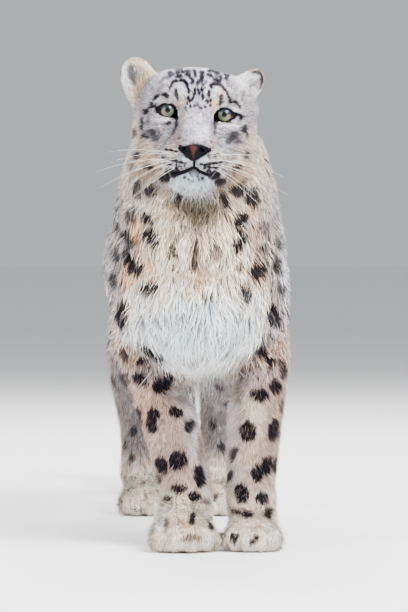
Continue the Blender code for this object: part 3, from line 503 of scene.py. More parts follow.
def room_on_face(skin):
    """How far each point of the head lies from the lips, the nose and the eyes, in metres."""
    head = skin.head()
    front = (head[:, 1] < 0.03) & np.isin(skin.kinds, ("head", "jaw"))
    across, down = seen(skin.points)
    lip = np.interp(across, *MOUTH_LINE)
    room = np.hypot(np.maximum(np.abs(across - 192) - 19, 0), down - lip) - 1.5
    nose = np.hypot((across - 195.2) / 1.7, np.maximum(np.abs(down - 151) - 3, 0)) - 6.5
    room = np.minimum(room, nose) * 0.0014
    for side in (-1, 1):
        turn, reach = eye_turns(head, side)
        room = np.minimum(room, reach - lid_reach(turn, 2))
    return np.where(front, np.maximum(room, 0), 1)


def tail_ways(points):
    """The way along the tail at each point, from the middles of its lengths."""
    names = sorted(name for name in NODES if name.startswith("tail"))
    low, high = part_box(names[-1])
    stops = [middle_of("hips") + Vector((0, 0.12, 0.03))] + [middle_of(name) for name in names]
    stops.append(Vector(((low.x + high.x) / 2, high.y, high.z)))
    stops = np.array([tuple(stop) for stop in stops])
    ways = unit(stops[1:] - stops[:-1])
    middles = (stops[1:] + stops[:-1]) / 2
    away = np.linalg.norm(points[:, None] - middles[None], axis=2)
    near = 1 / (away + 0.01) ** 4
    return unit((near[:, :, None] * ways[None]).sum(axis=1))


def lie_of(skin, face, bib, cheek):
    """The way that the hair runs at each point, before it is smoothed and laid on the skin."""
    kinds = skin.kinds
    figure, head = skin.figure(), skin.head()
    x, y, z = figure.T
    hx, hy, hz = head.T
    normals = skin.normals
    side = np.sign(x)
    lie = np.zeros_like(figure)
    lie[:] = (0, 1, -0.25)
    body = np.isin(kinds, ("chest", "belly", "hips"))
    lie[body, 2] = -0.20 - 0.55 * soft(np.abs(normals[body, 0]), 0.3, 1.0)
    front = np.isin(kinds, ("neck", "chest")) * soft(-normals[:, 1], -0.3, 0.5)
    down = np.stack([0.12 * side, np.full(len(x), 0.1), np.full(len(x), -1.0)], axis=1)
    lie = mixed(lie, down, front)
    neck = (kinds == "neck") * (1 - front)
    lie = mixed(lie, np.array([0.0, 0.8, -0.55]) + 0 * lie, neck * soft(-normals[:, 2], -0.9, 0.2))
    fan = np.interp(z, (0.24, 0.30, 0.36, 0.50, 0.58), (-0.5, -0.1, 0.55, 0.7, 0.3))
    splay = np.stack([fan * x / 0.1, 0 * x, -1 + 0 * x], axis=1)
    lie = mixed(lie, splay, bib)
    legs = np.isin(kinds, ("foreleg", "hindleg", "hock"))
    lie[legs] = (0, 0.25, -1)
    paws = np.isin(kinds, ("forepaw", "hindpaw"))
    lie[paws] = (0, -0.9, -0.55)
    lie = np.where((kinds == "tail")[:, None], tail_ways(skin.points), lie)

    out = np.zeros_like(head)
    out[:, 0] = hx * 1.25
    out[:, 1] = 0.03 + np.clip(hy + 0.05, 0, 1) * 0.9
    out[:, 2] = hz + 0.048
    out[:, 2] -= 0.034 * soft(np.abs(hx), 0.018, 0.040) * (1 - soft(hz, 0.010, 0.030))
    out[:, 2] -= 0.060 * cheek
    low = soft(-hz, 0.075, 0.095)
    out[:, 2] -= 0.08 * low
    out[:, 1] += 0.02 * low
    to_world = np.array(HEAD)[:3, :3]
    out = unit(out) @ to_world.T
    lie = np.where(np.isin(kinds, ("head", "jaw"))[:, None], out, lie)
    ears = kinds == "ear"
    for node in ("ear_left", "ear_right"):
        low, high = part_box(node)
        root = np.array([(low.x + high.x) / 2 * 0.75, (low.y + high.y) / 2, low.z])
        near = ears & (np.sign(skin.points[:, 0] - SHIFT.x) == (1 if node == "ear_left" else -1))
        lie[near] = unit(skin.points[near] - root)
    return unit(lie)


# ---- markings ----
# Marks seen from the front, in the photograph's pixels: across, down, half width, half height,
# turn in degrees (the first half size leans up to the right), how dark.
FACE_MARKS = (
    # The marks at across 130.6, down 71.0 and at across 133.0, down 80.0 lie in the left ear's cup and are
    # painted shade.
    (179.0, 68.9, 3.6, 0.7, 20, 0.70), (130.6, 71.0, 2.6, 6.0, 0, 0.50),
    (169.6, 72.4, 1.7, 0.8, 25, 0.80), (171.7, 74.6, 2.9, 1.0, 35, 0.80),
    (177.8, 72.3, 2.3, 0.9, 10, 0.90), (182.5, 71.4, 1.3, 1.5, 0, 0.95), (187.2, 70.9, 3.2, 0.8, 0, 0.90),
    (188.1, 74.6, 2.5, 1.1, -15, 1.00), (194.3, 70.9, 1.4, 1.4, 0, 0.90),
    (195.4, 74.6, 1.1, 1.3, 0, 0.90), (201.9, 72.0, 2.5, 0.9, 0, 0.90), (210.7, 70.6, 2.8, 0.9, 0, 0.90),
    (217.0, 72.2, 2.6, 1.1, -10, 0.95), (226.8, 74.6, 2.7, 1.1, -25, 0.85),
    (256.0, 72.4, 4.6, 0.8, -14, 0.95), (133.0, 80.0, 1.6, 4.0, 30, 0.40),
    (163.5, 78.0, 1.6, 0.7, 40, 0.40), (167.5, 76.7, 1.8, 0.8, 50, 0.50),
    (178.7, 76.1, 3.1, 1.1, 8, 1.00), (179.2, 80.3, 1.6, 0.6, 4, 0.80), (182.5, 80.2, 2.8, 1.0, -8, 1.00),
    (191.9, 79.0, 2.1, 0.9, -35, 0.95), (200.9, 80.8, 2.0, 0.9, 0, 0.90),
    (201.9, 76.4, 1.7, 2.4, 0, 0.95), (210.1, 75.2, 3.3, 1.3, -18, 0.90),
    (216.6, 80.2, 3.9, 1.1, -22, 1.00), (217.7, 76.1, 2.0, 1.4, 0, 0.55),
    (221.2, 77.8, 0.9, 2.8, 0, 0.80), (226.5, 77.8, 1.6, 1.0, 0, 0.80), (261.8, 77.6, 0.9, 4.6, 0, 0.95),
    (160.5, 81.4, 2.0, 0.7, 30, 0.35), (161.8, 86.0, 1.8, 0.7, 50, 0.30),
    (170.5, 86.0, 0.8, 2.2, -25, 0.90), (172.8, 82.6, 1.1, 1.7, -30, 1.00),
    (175.6, 81.1, 2.2, 1.0, 15, 1.00), (185.5, 82.0, 1.7, 1.1, -50, 1.00),
    (187.2, 85.0, 1.0, 1.9, 15, 1.00), (191.9, 82.5, 1.5, 1.0, -30, 0.95),
    (196.6, 85.4, 1.0, 0.8, 0, 0.50), (198.2, 81.6, 1.3, 2.4, -30, 0.85),
    (203.1, 84.3, 1.4, 0.8, 0, 0.80), (206.2, 81.0, 0.8, 1.2, 0, 0.50), (211.4, 85.4, 1.2, 2.1, 0, 1.00),
    (213.4, 83.6, 1.8, 0.9, 10, 1.00), (216.6, 84.2, 2.6, 0.9, 0, 1.00),
    (220.0, 84.9, 1.5, 0.8, -30, 0.90), (222.7, 86.6, 1.9, 0.8, -45, 0.95),
    (227.7, 82.0, 1.0, 2.0, 0, 0.40), (230.6, 85.5, 1.5, 0.8, -45, 0.40),
    (261.0, 86.0, 0.8, 3.0, 0, 0.60), (158.0, 90.0, 1.6, 0.8, 50, 0.35),
    (175.9, 94.0, 0.9, 5.6, 12, 0.75), (188.5, 90.2, 0.8, 2.5, 0, 1.00), (194.3, 92.9, 0.8, 1.4, 0, 0.90),
    (195.1, 89.1, 0.8, 1.5, 10, 1.00), (198.4, 89.0, 0.5, 1.4, 20, 0.90),
    (199.4, 92.5, 0.6, 1.7, 0, 0.90), (202.0, 89.0, 0.8, 1.6, 0, 1.00), (204.7, 87.6, 0.7, 0.5, 0, 0.80),
    (209.2, 92.8, 1.0, 2.8, 5, 1.00), (224.9, 89.3, 1.6, 0.7, -50, 0.95),
    (155.4, 97.2, 4.2, 0.9, 38, 1.00), (164.0, 94.2, 2.0, 1.3, 0, 0.95), (166.4, 95.8, 1.0, 1.8, 0, 0.85),
    (187.9, 96.9, 0.9, 1.4, 0, 1.00), (192.6, 97.6, 0.7, 2.4, -25, 0.90),
    (202.9, 95.9, 0.9, 2.1, 0, 1.00), (221.4, 99.6, 0.9, 5.4, -6, 0.75),
    (227.4, 93.2, 2.2, 0.8, -58, 0.95), (229.6, 97.4, 2.0, 0.8, -55, 1.00),
    (150.0, 103.6, 1.6, 1.5, 0, 0.80), (187.2, 102.6, 0.4, 1.5, 0, 0.70),
    (190.1, 100.4, 1.4, 1.0, 35, 1.00), (197.2, 103.9, 0.5, 0.5, 0, 0.70),
    (197.6, 99.6, 1.6, 5.0, 0, 0.22), (207.2, 100.4, 1.5, 1.0, -45, 1.00),
    (211.2, 99.6, 0.7, 1.1, 0, 0.90), (222.0, 102.4, 1.0, 1.8, 0, 0.50),
    (231.2, 101.0, 1.5, 1.5, 0, 1.00), (236.4, 102.5, 2.4, 0.8, -35, 1.00),
    (145.0, 110.6, 1.9, 2.3, 20, 0.90), (151.2, 106.8, 3.4, 1.0, 14, 0.90),
    (185.7, 108.2, 0.5, 1.3, 0, 0.55), (190.3, 105.7, 0.6, 1.0, 0, 0.90),
    (194.8, 105.1, 0.8, 0.7, 0, 0.90), (199.2, 105.4, 0.5, 0.7, 0, 0.80),
    (201.3, 107.2, 0.7, 0.5, 0, 0.80), (205.4, 106.3, 0.6, 1.0, 0, 0.90),
    (211.0, 105.1, 0.8, 1.0, 0, 0.90), (240.0, 106.2, 2.2, 0.7, -50, 0.85),
    (237.6, 114.2, 3.2, 1.1, -14, 1.00), (141.2, 121.5, 1.4, 4.2, 8, 0.90),
    (147.6, 119.2, 0.9, 2.6, 0, 0.60), (167.8, 122.4, 2.0, 0.9, 42, 0.80),
    (176.4, 117.4, 1.2, 2.0, 0, 0.90), (229.6, 122.0, 1.6, 0.7, 0, 0.60),
    (242.2, 117.2, 1.8, 2.2, -20, 1.00), (128.5, 125.5, 0.9, 2.4, 0, 0.35),
    (140.2, 127.6, 1.3, 2.6, 0, 0.80), (175.8, 123.8, 1.0, 3.4, -6, 0.75),
    (215.6, 124.2, 1.1, 4.2, 2, 0.65), (245.2, 128.4, 1.8, 4.0, -22, 0.90),
    (133.6, 132.4, 1.2, 2.8, 10, 0.70), (151.4, 132.6, 3.4, 2.4, -20, 0.45),
    (173.6, 130.6, 0.9, 4.0, -20, 0.50), (215.4, 131.2, 0.9, 3.2, 0, 0.45),
    (247.8, 135.0, 1.2, 2.4, 0, 0.80), (132.4, 136.6, 1.0, 1.6, 0, 0.60),
    (141.8, 137.2, 1.6, 1.5, 0, 0.90), (146.8, 137.6, 1.3, 1.3, 0, 0.90),
    (155.2, 138.2, 3.2, 2.8, -10, 0.40), (178.6, 138.2, 0.6, 0.7, 0, 0.60),
    (229.6, 140.8, 2.8, 2.4, 40, 0.40), (234.6, 135.4, 3.8, 3.4, 20, 0.50),
    (127.0, 142.8, 2.6, 0.8, 30, 0.50), (211.8, 141.4, 0.6, 0.7, 0, 0.50),
    (240.2, 142.4, 3.0, 0.9, 10, 0.50), (166.2, 150.0, 1.3, 0.7, 0, 0.90),
    (170.6, 150.4, 1.7, 0.8, -10, 0.95), (174.8, 151.4, 1.4, 0.8, -14, 0.90),
    (134.0, 154.4, 2.9, 2.9, 0, 1.00), (163.4, 158.4, 1.7, 0.7, -24, 1.00),
    (209.6, 155.8, 0.9, 1.5, 0, 0.40), (215.8, 155.6, 1.1, 0.4, 0, 0.90),
    (219.4, 154.6, 1.0, 0.4, 0, 0.90), (248.8, 156.0, 2.6, 3.6, -10, 1.00),
    (165.4, 164.2, 1.7, 0.7, 0, 1.00), (167.2, 159.4, 1.6, 0.7, -20, 1.00),
    (170.6, 164.6, 2.5, 0.7, -4, 1.00), (171.4, 160.2, 1.7, 1.0, -10, 1.00),
    (175.8, 161.4, 2.3, 1.0, -14, 1.00), (181.0, 162.8, 1.7, 0.8, -6, 1.00),
    (184.8, 163.8, 0.8, 0.4, 0, 0.70), (185.2, 163.6, 1.0, 0.4, 0, 0.75),
    (201.6, 164.6, 1.2, 0.5, 0, 1.00), (209.2, 164.2, 2.7, 0.7, 4, 1.00),
    (214.6, 163.6, 2.7, 0.7, 4, 1.00), (219.8, 162.6, 2.3, 0.5, 12, 1.00),
    (146.6, 167.0, 5.4, 2.8, -8, 1.00), (168.4, 168.2, 1.9, 0.7, 0, 1.00),
    (176.2, 165.4, 1.3, 0.5, 0, 1.00), (176.4, 168.4, 1.3, 0.7, 10, 1.00),
    (180.0, 166.6, 1.2, 0.5, 0, 1.00), (181.6, 169.2, 0.8, 0.4, 0, 0.70),
    (184.0, 166.2, 0.7, 0.4, 0, 0.70), (204.6, 168.4, 1.1, 0.5, 0, 1.00),
    (205.2, 165.8, 1.3, 0.5, 20, 1.00), (208.6, 170.6, 1.2, 0.8, 0, 0.85),
    (210.0, 167.6, 2.5, 0.7, -8, 1.00), (215.4, 168.2, 2.7, 0.7, -10, 1.00),
    (219.4, 166.2, 1.2, 0.4, 0, 0.80), (238.4, 168.2, 5.2, 2.8, 14, 1.00),
    (170.4, 173.4, 6.0, 3.8, -24, 1.00), (177.2, 171.2, 2.2, 1.4, -10, 0.90),
    (194.0, 172.6, 5.4, 3.6, 0, 0.50), (208.4, 171.6, 1.8, 1.2, 20, 0.90),
    (214.8, 175.4, 5.6, 3.8, 26, 1.00), (163.8, 179.4, 4.8, 3.6, -14, 1.00),
    (184.5, 178.0, 0.9, 1.0, 0, 0.80), (188.6, 179.4, 0.9, 0.8, 0, 0.70),
    (192.6, 181.2, 0.8, 0.9, 0, 0.60), (197.4, 177.6, 0.9, 1.0, 0, 0.70),
    (199.2, 181.0, 0.7, 0.7, 0, 0.60), (202.4, 179.2, 0.9, 1.1, 0, 0.80),
    (220.6, 183.2, 5.2, 3.8, 24, 1.00), (135.8, 188.0, 2.4, 5.6, 10, 0.55),
    (150.0, 188.6, 5.0, 4.2, -30, 0.75), (238.0, 192.8, 5.6, 3.0, 24, 0.65),
    (249.0, 191.0, 2.4, 1.6, 0, 0.40), (253.2, 196.0, 3.8, 4.6, -10, 0.55),
)
BREAST_MARKS = (
    (179.2, 200.8, 1.9, 8.2, -8, 0.90), (225.2, 202.4, 1.8, 7.6, 24, 0.85), (129.8, 220.0, 3.6, 6.6, 20, 0.65),
    (147.6, 221.0, 6.6, 3.4, -44, 0.95), (124.6, 237.6, 3.8, 3.0, -30, 0.80), (131.4, 243.6, 4.4, 3.4, -40, 0.70),
    (151.0, 239.6, 7.4, 4.6, -40, 1.00), (129.6, 264.0, 5.4, 8.6, 24, 0.95), (139.0, 270.6, 4.4, 4.6, 0, 0.90),
    (149.8, 290.2, 5.6, 4.4, -30, 0.90), (173.6, 252.4, 4.4, 3.0, -10, 0.75), (214.8, 253.2, 4.6, 2.4, 14, 0.55),
    (240.6, 222.4, 5.0, 7.6, -36, 0.90), (238.6, 243.4, 4.6, 9.0, -28, 1.00), (258.0, 272.6, 7.6, 7.8, 20, 0.90),
    (263.4, 228.8, 4.4, 5.4, 0, 0.40), (262.0, 251.6, 4.6, 4.0, 20, 0.50), (246.0, 294.6, 4.4, 5.6, 30, 0.80),
    (277.0, 267.8, 3.0, 6.2, -6, 0.70), (122.6, 317.0, 6.0, 10.0, -12, 0.90), (272.8, 318.6, 5.6, 10.6, 24, 0.90),
    (235.2, 317.4, 2.6, 4.4, 30, 0.45), (116.0, 255.8, 2.6, 5.8, 0, 0.65), (195.2, 258.0, 1.0, 13.0, -6, 0.70),
    (239.4, 266.4, 2.4, 4.4, 0, 0.45), (252.8, 200.0, 5.0, 7.4, -10, 0.85), (239.4, 192.6, 6.0, 4.0, 20, 0.80),
    (150.8, 190.6, 5.4, 4.6, -20, 0.80), (137.4, 192.4, 3.2, 5.4, 0, 0.65), (116.2, 230.4, 2.4, 2.6, 0, 0.55),
    (112.4, 282.0, 3.0, 6.2, 10, 0.65), (282.2, 291.8, 2.4, 5.2, 0, 0.60), (108.6, 306.6, 1.8, 4.6, 0, 0.60),
    (281.6, 245.0, 2.2, 4.8, -10, 0.50), (164.6, 315.4, 2.0, 3.0, 0, 0.20), (270.4, 340.0, 2.6, 3.6, 0, 0.4),
)
LEG_MARKS = (
    (144.6, 349.6, 7.0, 3.2, -14, 0.95), (156.6, 354.4, 7.4, 2.6, -26, 0.95), (141.6, 363.8, 5.2, 4.2, -20, 0.95),
    (140.4, 380.8, 7.8, 5.2, -36, 1.00), (162.4, 386.2, 9.0, 6.2, 26, 1.00), (152.8, 416.0, 5.6, 6.0, -10, 1.00),
    (151.6, 427.4, 4.6, 6.4, 10, 1.00), (176.6, 413.0, 6.2, 4.8, -16, 1.00), (190.6, 427.0, 4.4, 5.8, -20, 0.95),
    (178.6, 462.0, 8.6, 8.6, -30, 1.00), (161.2, 466.6, 5.2, 8.6, 24, 0.95), (200.6, 477.4, 5.4, 10.4, 6, 1.00),
    (137.4, 418.8, 2.8, 9.6, 10, 0.85), (178.6, 490.2, 7.2, 3.6, 10, 1.00), (194.8, 497.4, 6.6, 3.6, -14, 0.95),
    (157.0, 480.4, 2.2, 5.0, 26, 0.80), (166.8, 499.4, 3.2, 2.0, 10, 0.80), (206.4, 502.8, 4.6, 1.8, 0, 0.50),
    (124.2, 356.0, 3.0, 5.4, 20, 0.65), (125.0, 379.6, 2.6, 6.0, 20, 0.60), (169.0, 350.4, 3.0, 2.0, -30, 0.35),
    (261.6, 353.0, 5.8, 3.8, -40, 0.95), (270.4, 363.0, 4.8, 3.4, -46, 0.95), (264.4, 346.6, 2.2, 3.0, 0, 0.60),
    (280.4, 364.0, 2.0, 3.8, 0, 0.50), (259.6, 396.2, 9.0, 6.0, -10, 1.00),
    (276.4, 387.8, 4.8, 6.6, 20, 0.95), (247.4, 432.6, 7.4, 9.6, 10, 1.00), (274.2, 431.2, 4.6, 10.2, -8, 0.90),
    (232.6, 455.0, 2.6, 6.6, -14, 0.75), (258.0, 474.2, 6.4, 7.0, 20, 1.00), (266.8, 467.6, 5.2, 8.4, -8, 1.00),
    (277.4, 466.6, 2.6, 7.0, 0, 0.85), (228.6, 477.6, 2.0, 5.4, -30, 0.80), (241.2, 494.6, 6.8, 9.0, 0, 1.00),
    (262.4, 499.8, 5.8, 6.0, -30, 0.95), (234.0, 512.6, 5.0, 1.9, -10, 0.85), (246.6, 514.4, 6.0, 1.9, -6, 0.90),
    (269.4, 513.6, 3.0, 4.2, 0, 0.85), (284.4, 372.0, 2.4, 7.0, 0, 0.70), (284.0, 408.0, 2.0, 6.0, 0, 0.60),
    # The thin upright marks on the front paws, from down 518 to 524, are painted shade between the toes.
    (283.6, 440.0, 1.8, 8.0, 0, 0.55), (129.6, 400.0, 2.2, 6.0, 0, 0.50), (166.0, 524.0, 1.5, 4.0, 10, 0.55),
    (192.8, 518.4, 1.8, 5.6, -6, 0.90), (212.4, 523.8, 1.8, 5.6, -8, 0.90), (234.2, 538.0, 4.0, 4.2, -20, 0.90),
    (254.0, 539.4, 2.4, 6.2, -30, 0.85), (192.4, 537.4, 8.0, 2.0, 0, 0.55), (178.6, 521.0, 1.0, 4.0, 0, 0.25),
)
# Soft tints of the throat, breast and legs seen from the front, as for the face below.
BODY_TINTS = (
    # The dark olive tints are painted shade, on the throat under the chin and down between the forelegs.
    (200, 214, 17, 22, "olive_shade", 0.95), (180, 211, 10, 13, "ochre", 0.55), (222, 213, 9, 12, "ochre", 0.55),
    (160, 214, 14, 11, "cream", 0.60), (240, 208, 12, 9, "cream", 0.70), (196, 241, 14, 9, "olive_shade", 0.35),
    (140, 236, 7, 14, "tan", 0.90), (155, 264, 10, 11, "tan", 0.50), (135, 283, 10, 11, "tan", 0.90),
    (250, 214, 6, 10, "tan", 0.50), (252, 250, 6, 22, "tan", 0.45), (256, 290, 8, 10, "tan", 0.60),
    (174, 258, 15, 13, "cream", 0.85), (222, 264, 15, 13, "cream", 0.80), (201, 276, 8, 11, "tan", 0.75),
    (199, 300, 3.5, 13, "tan", 0.65), (196, 258, 4, 13, "ochre", 0.75), (148, 302, 16, 9, "white", 0.80),
    (248, 304, 13, 9, "white", 0.70), (178, 292, 12, 8, "white", 0.55), (222, 294, 12, 8, "white", 0.55),
    (196, 332, 70, 24, "white", 1.00), (198, 326, 46, 22, "snow", 0.85), (202, 354, 24, 11, "white", 0.60),
    # The ochre tint at down 367 is painted shade at the top of the gap between the forelegs. The ochre and face
    # tints on the tops of the forelegs under the bib are partly the legs' own warm colour and partly painted
    # shade.
    (203, 367, 13, 10, "ochre", 0.90), (203, 383, 12, 10, "olive_shade", 0.55), (205, 398, 16, 20, "olive_shade", 0.95), (148, 362, 26, 14, "ochre", 0.70),
    (172, 378, 16, 14, "ochre", 0.75), (250, 362, 22, 15, "ochre", 0.90), (236, 384, 12, 22, "ochre", 0.70),
    (158, 376, 24, 12, "face", 0.45), (250, 376, 22, 12, "face", 0.45), (150, 404, 12, 22, "tan", 0.25),
    (254, 416, 11, 26, "cream", 0.80), (252, 465, 11, 20, "cream", 0.50), (160, 440, 12, 16, "cream", 0.20),
    (170, 500, 18, 5, "cream", 0.30), (224, 430, 3.4, 40, "white", 0.60), (204, 455, 3, 40, "white", 0.60),
    (188, 529, 12, 5, "tan", 0.50), (228, 505, 6, 8, "tan", 0.35), (250, 527, 12, 8, "cream", 0.35),
    (158, 527, 7, 8, "white", 0.70), (218, 532, 5, 8, "white", 0.70), (274, 535, 6, 9, "white", 0.70),
    (110, 262, 7, 56, "flank", 0.60), (283, 262, 7, 60, "white", 0.40), (207, 452, 12, 22, "olive_shade", 0.60),
    (262, 262, 9, 30, "cream", 0.35),
)
# Soft tints of the face seen from the front: across, down, half width, half height, tone, share.
FACE_TINTS = (
    (197, 122, 11, 24, "bridge", 0.85), (197, 104, 9, 8, "bridge", 0.55), (196, 80, 42, 17, "bridge", 0.80),
    (181, 91, 4.0, 7.5, "white", 0.55), (215.5, 91, 3.4, 6.5, "white", 0.35), (172.5, 92, 2.5, 7, "white", 0.35),
    (226, 98, 3.0, 7, "white", 0.35), (181, 102, 6, 5, "tan", 0.45), (215, 103, 6, 6, "tan", 0.45),
    (176.0, 92, 1.8, 6.5, "ochre", 0.80), (221.6, 98, 1.8, 6.5, "ochre", 0.80), (156, 99, 8, 3.4, "white", 0.60),
    (236, 109, 7, 4, "white", 0.50), (159, 120, 13, 2.0, "white", 0.85), (231, 125.5, 11, 2.0, "white", 0.80),
    (160, 128, 13, 6, "face", 0.55), (231, 132, 12, 6, "face", 0.55), (178.4, 114.6, 2.2, 3.4, "white", 0.85),
    (213.4, 117.0, 2.0, 3.2, "white", 0.70), (152, 134, 9, 7, "grey", 0.85), (234, 138, 9, 7, "grey", 0.85),
    (167, 138, 7, 9, "face", 0.75), (221, 141, 6, 9, "face", 0.70), (134, 140, 8, 26, "cream", 0.45),
    (250, 148, 9, 22, "cream", 0.50), (171, 152, 6, 6, "cream", 0.55), (219, 156, 6, 6, "cream", 0.40),
    (187, 158, 5, 7, "snow", 0.85), (203, 160, 5, 7, "snow", 0.80), (174, 165, 11, 6, "white", 0.85),
    (213, 167, 9, 6, "white", 0.60), (149, 176, 17, 13, "ochre", 0.95), (235, 181, 15, 13, "ochre", 0.92),
    (150, 162, 11, 8, "tan", 0.55), (241, 166, 10, 8, "tan", 0.45), (147, 148, 8, 6, "tan", 0.30),
    (242, 151, 7, 6, "tan", 0.25), (191.2, 182.0, 18, 8.2, "snow", 1.00), (163, 190, 7, 6.5, "ochre", 0.85),
    (219.5, 191, 7, 6.5, "ochre", 0.85), (176.4, 141, 2.4, 8, "pink", 0.60), (212.6, 146, 2.2, 8, "pink", 0.55),
    # The dark olive tints here and below are painted shade, under the chin and on the lower cheeks.
    (197, 141, 8, 4, "face", 0.70), (202, 208, 14, 11, "olive_shade", 0.85), (176, 207, 9, 10, "ochre", 0.65),
    (222, 206, 9, 9, "ochre", 0.60), (191, 201.5, 22, 5.5, "olive_shade", 0.95), (124, 100, 5, 20, "cream", 0.40),
    # The mist and grey tints in the left ear's cup are painted shade.
    (132, 74, 8, 10, "mist", 0.90), (134, 77, 5, 11, "grey", 0.50), (127, 92, 5, 9, "cream", 0.55),
    (146, 76, 5, 8, "cream", 0.45), (150, 69, 6, 3, "tan", 0.45), (249, 82, 11, 10, "white", 1.00),
    (257.5, 72.6, 6, 2.4, "grey", 1.00), (262, 79, 2.6, 6, "grey", 1.00), (260, 96, 7, 6, "white", 0.80),
    (134, 168, 8, 26, "flank", 0.25), (253, 182, 7, 20, "cream", 0.40), (146, 192, 16, 12, "flank", 0.35), (148, 170, 11, 8, "olive_shade", 0.35),
    (240, 175, 10, 8, "olive_shade", 0.30), (124, 82, 3.5, 20, "white", 0.60), (138, 84, 7, 12, "tan", 0.35),
    (160, 80, 6, 6, "face", 0.40), (190, 128, 3, 10, "face", 0.40), (204, 117, 3, 9, "face", 0.35),
    (186.5, 120, 3, 9, "tan", 0.22), (206, 131, 3, 8, "white", 0.50), (198, 136, 3, 5, "white", 0.40),
    (194, 112, 3, 6, "tan", 0.15), (228, 104, 6, 5, "ochre", 0.25), (223, 92, 6, 6, "tan", 0.25),
)


def marked(points, facing, marks, grow, seed):
    """How dark the marks make each point, 0 to 1, for points that face the front."""
    across, down = seen(points)
    rough = 0.25 if grow < 1 else 0.75
    across = across + rough * (ripple(points, 0.013, seed) + 0.5 * ripple(points, 0.006, seed + 2))
    down = down + rough * (ripple(points, 0.013, seed + 1) + 0.5 * ripple(points, 0.006, seed + 3))
    found = np.zeros(len(points))
    front = facing > 0.05
    for a, d, wide, high, turn, dark in marks:
        near = front & (np.abs(across - a) < wide + high + 2) & (np.abs(down - d) < wide + high + 2)
        if not near.any():
            continue
        c, s = math.cos(math.radians(turn)), math.sin(math.radians(turn))
        u, v = across[near] - a, d - down[near]
        along, over = u * c + v * s, v * c - u * s
        reach = np.sqrt((along / (wide + grow)) ** 2 + (over / (high + grow)) ** 2)
        edge = 0.8 / min(wide + grow, high + grow)
        cover = dark * (1 - soft(reach, 1 - 0.4 * edge, 1 + 0.8 * edge))
        found[near] = np.maximum(found[near], cover)
    return 1 - (1 - found) ** 1.9


BREAST_END = 0.13 + SHIFT.y  # how far back the listed marks reach

# Rosettes where the photograph shows none: zone, radius, gap between two, ring or solid.
ROSETTE_SIZES = {
    "head": (0.0058, 0.017, 0.0), "jaw": (0.004, 0.02, 0.0), "ear": (0.004, 0.02, 0.0),
    "neck": (0.0135, 0.038, 0.35), "chest": (0.0205, 0.054, 0.85), "belly": (0.0215, 0.056, 0.9),
    "hips": (0.0200, 0.052, 0.8), "hindleg": (0.0130, 0.036, 0.25), "hock": (0.0090, 0.028, 0.0),
    "hindpaw": (0.0060, 0.022, 0.0), "foreleg": (0.0110, 0.033, 0.1), "forepaw": (0.0055, 0.022, 0.0),
    "tail": (0.0220, 0.052, 0.5),
}


def hand_marked(points, normals, kinds):
    """Whether each point lies where the listed marks seen from the front are laid."""
    figure = points - np.array(SHIFT)
    y = figure[:, 1]
    turned = -normals[:, 1]
    head = np.isin(kinds, ("head", "jaw", "ear")) & (turned > 0.18)
    breast = np.isin(kinds, ("neck", "chest")) & (turned > 0.12) & (y < 0.12)
    legs = np.isin(kinds, ("foreleg", "forepaw")) & (turned > 0.10)
    return head | breast | legs


class Rosettes:
    """Scattered rosettes and spots over the parts that the front view doesn't show."""

    def __init__(self, skin):
        draw = np.random.default_rng(SEED + 3)
        free = ~hand_marked(skin.points, skin.normals, skin.kinds)
        free &= skin.points[:, 2] > 0.012
        chosen = draw.permutation(np.flatnonzero(free))[:9000]
        places, sizes = [], []
        taken = np.empty((0, 3))
        gaps = np.empty(0)
        for k in chosen:
            radius, gap, ring = ROSETTE_SIZES[skin.kinds[k]]
            if len(taken):
                away = np.linalg.norm(taken - skin.points[k], axis=1)
                if (away < np.maximum(gaps, gap)).any():
                    continue
            taken = np.vstack([taken, skin.points[k]])
            gaps = np.append(gaps, gap)
            sizes.append((radius * draw.uniform(0.8, 1.2), ring, draw.uniform(0, 6.28)))
        self.places, self.sizes = taken, np.array(sizes)
        self.tree = KDTree(len(taken))
        for k, place in enumerate(taken):
            self.tree.insert(Vector(place), k)
        self.tree.balance()

    def over(self, points, lie):
        """How far each point is in a dark rim, and in a rosette's greyer middle."""
        near = np.array([self.tree.find(Vector(p))[1] for p in points])
        away = points - self.places[near]
        radius, ring, turn = self.sizes[near].T
        along = (away * lie).sum(axis=1)
        across = np.sqrt(np.maximum((away * away).sum(axis=1) - along ** 2, 0))
        reach = np.sqrt((along / 1.18) ** 2 + (across / 0.92) ** 2) / radius
        reach += 0.16 * ripple(points, 0.030, SEED + 5) + 0.07 * ripple(points, 0.010, SEED + 6)
        outer = 1 - soft(reach, 0.88, 1.10)
        inner = soft(reach, 0.42, 0.66)
        gap = soft(ripple(points, 0.034, SEED + 7), 0.35, 0.9) * ring
        rim = outer * mixed(np.ones(len(points)), inner, ring) * (1 - 0.75 * gap)
        return rim, outer


def coat_colours(points, facing, kinds, normals, lie, base, rosettes, hold):
    """The coat's colour at points, with every marking as far as each tuft holds it."""
    colour = base.copy()
    hand = hand_marked(points, normals, kinds)
    rim, middle = rosettes.over(points, lie)
    white = (np.isin(kinds, ("chest", "belly")) & (normals[:, 2] < -0.6)) * 0.6
    rim = np.where(hand, 0, rim) * (1 - white)
    middle = np.where(hand, 0, middle) * (1 - white)
    colour = mixed(colour, TONES["fill"], middle * 0.50 * (kinds != "head"))
    strong = np.where(np.isin(kinds, ("chest", "belly", "hips")), 0.84, 0.88)
    colour = mixed(colour, TONES["dark"], rim * strong * hold)
    dark = np.zeros(len(points))
    for wanted, marks, grow in (
        (("head", "jaw", "ear"), FACE_MARKS, 0.80),
        (("neck", "chest", "head"), BREAST_MARKS, 2.0),
        (("foreleg", "forepaw", "chest"), LEG_MARKS, 1.3),
    ):
        chosen = np.flatnonzero(np.isin(kinds, wanted) & (facing > 0.05) & (points[:, 1] < BREAST_END))
        found = marked(points[chosen], facing[chosen], marks, grow, SEED + 11)
        dark[chosen] = np.maximum(dark[chosen], found)
    return mixed(colour, TONES["dark"], dark * hold)


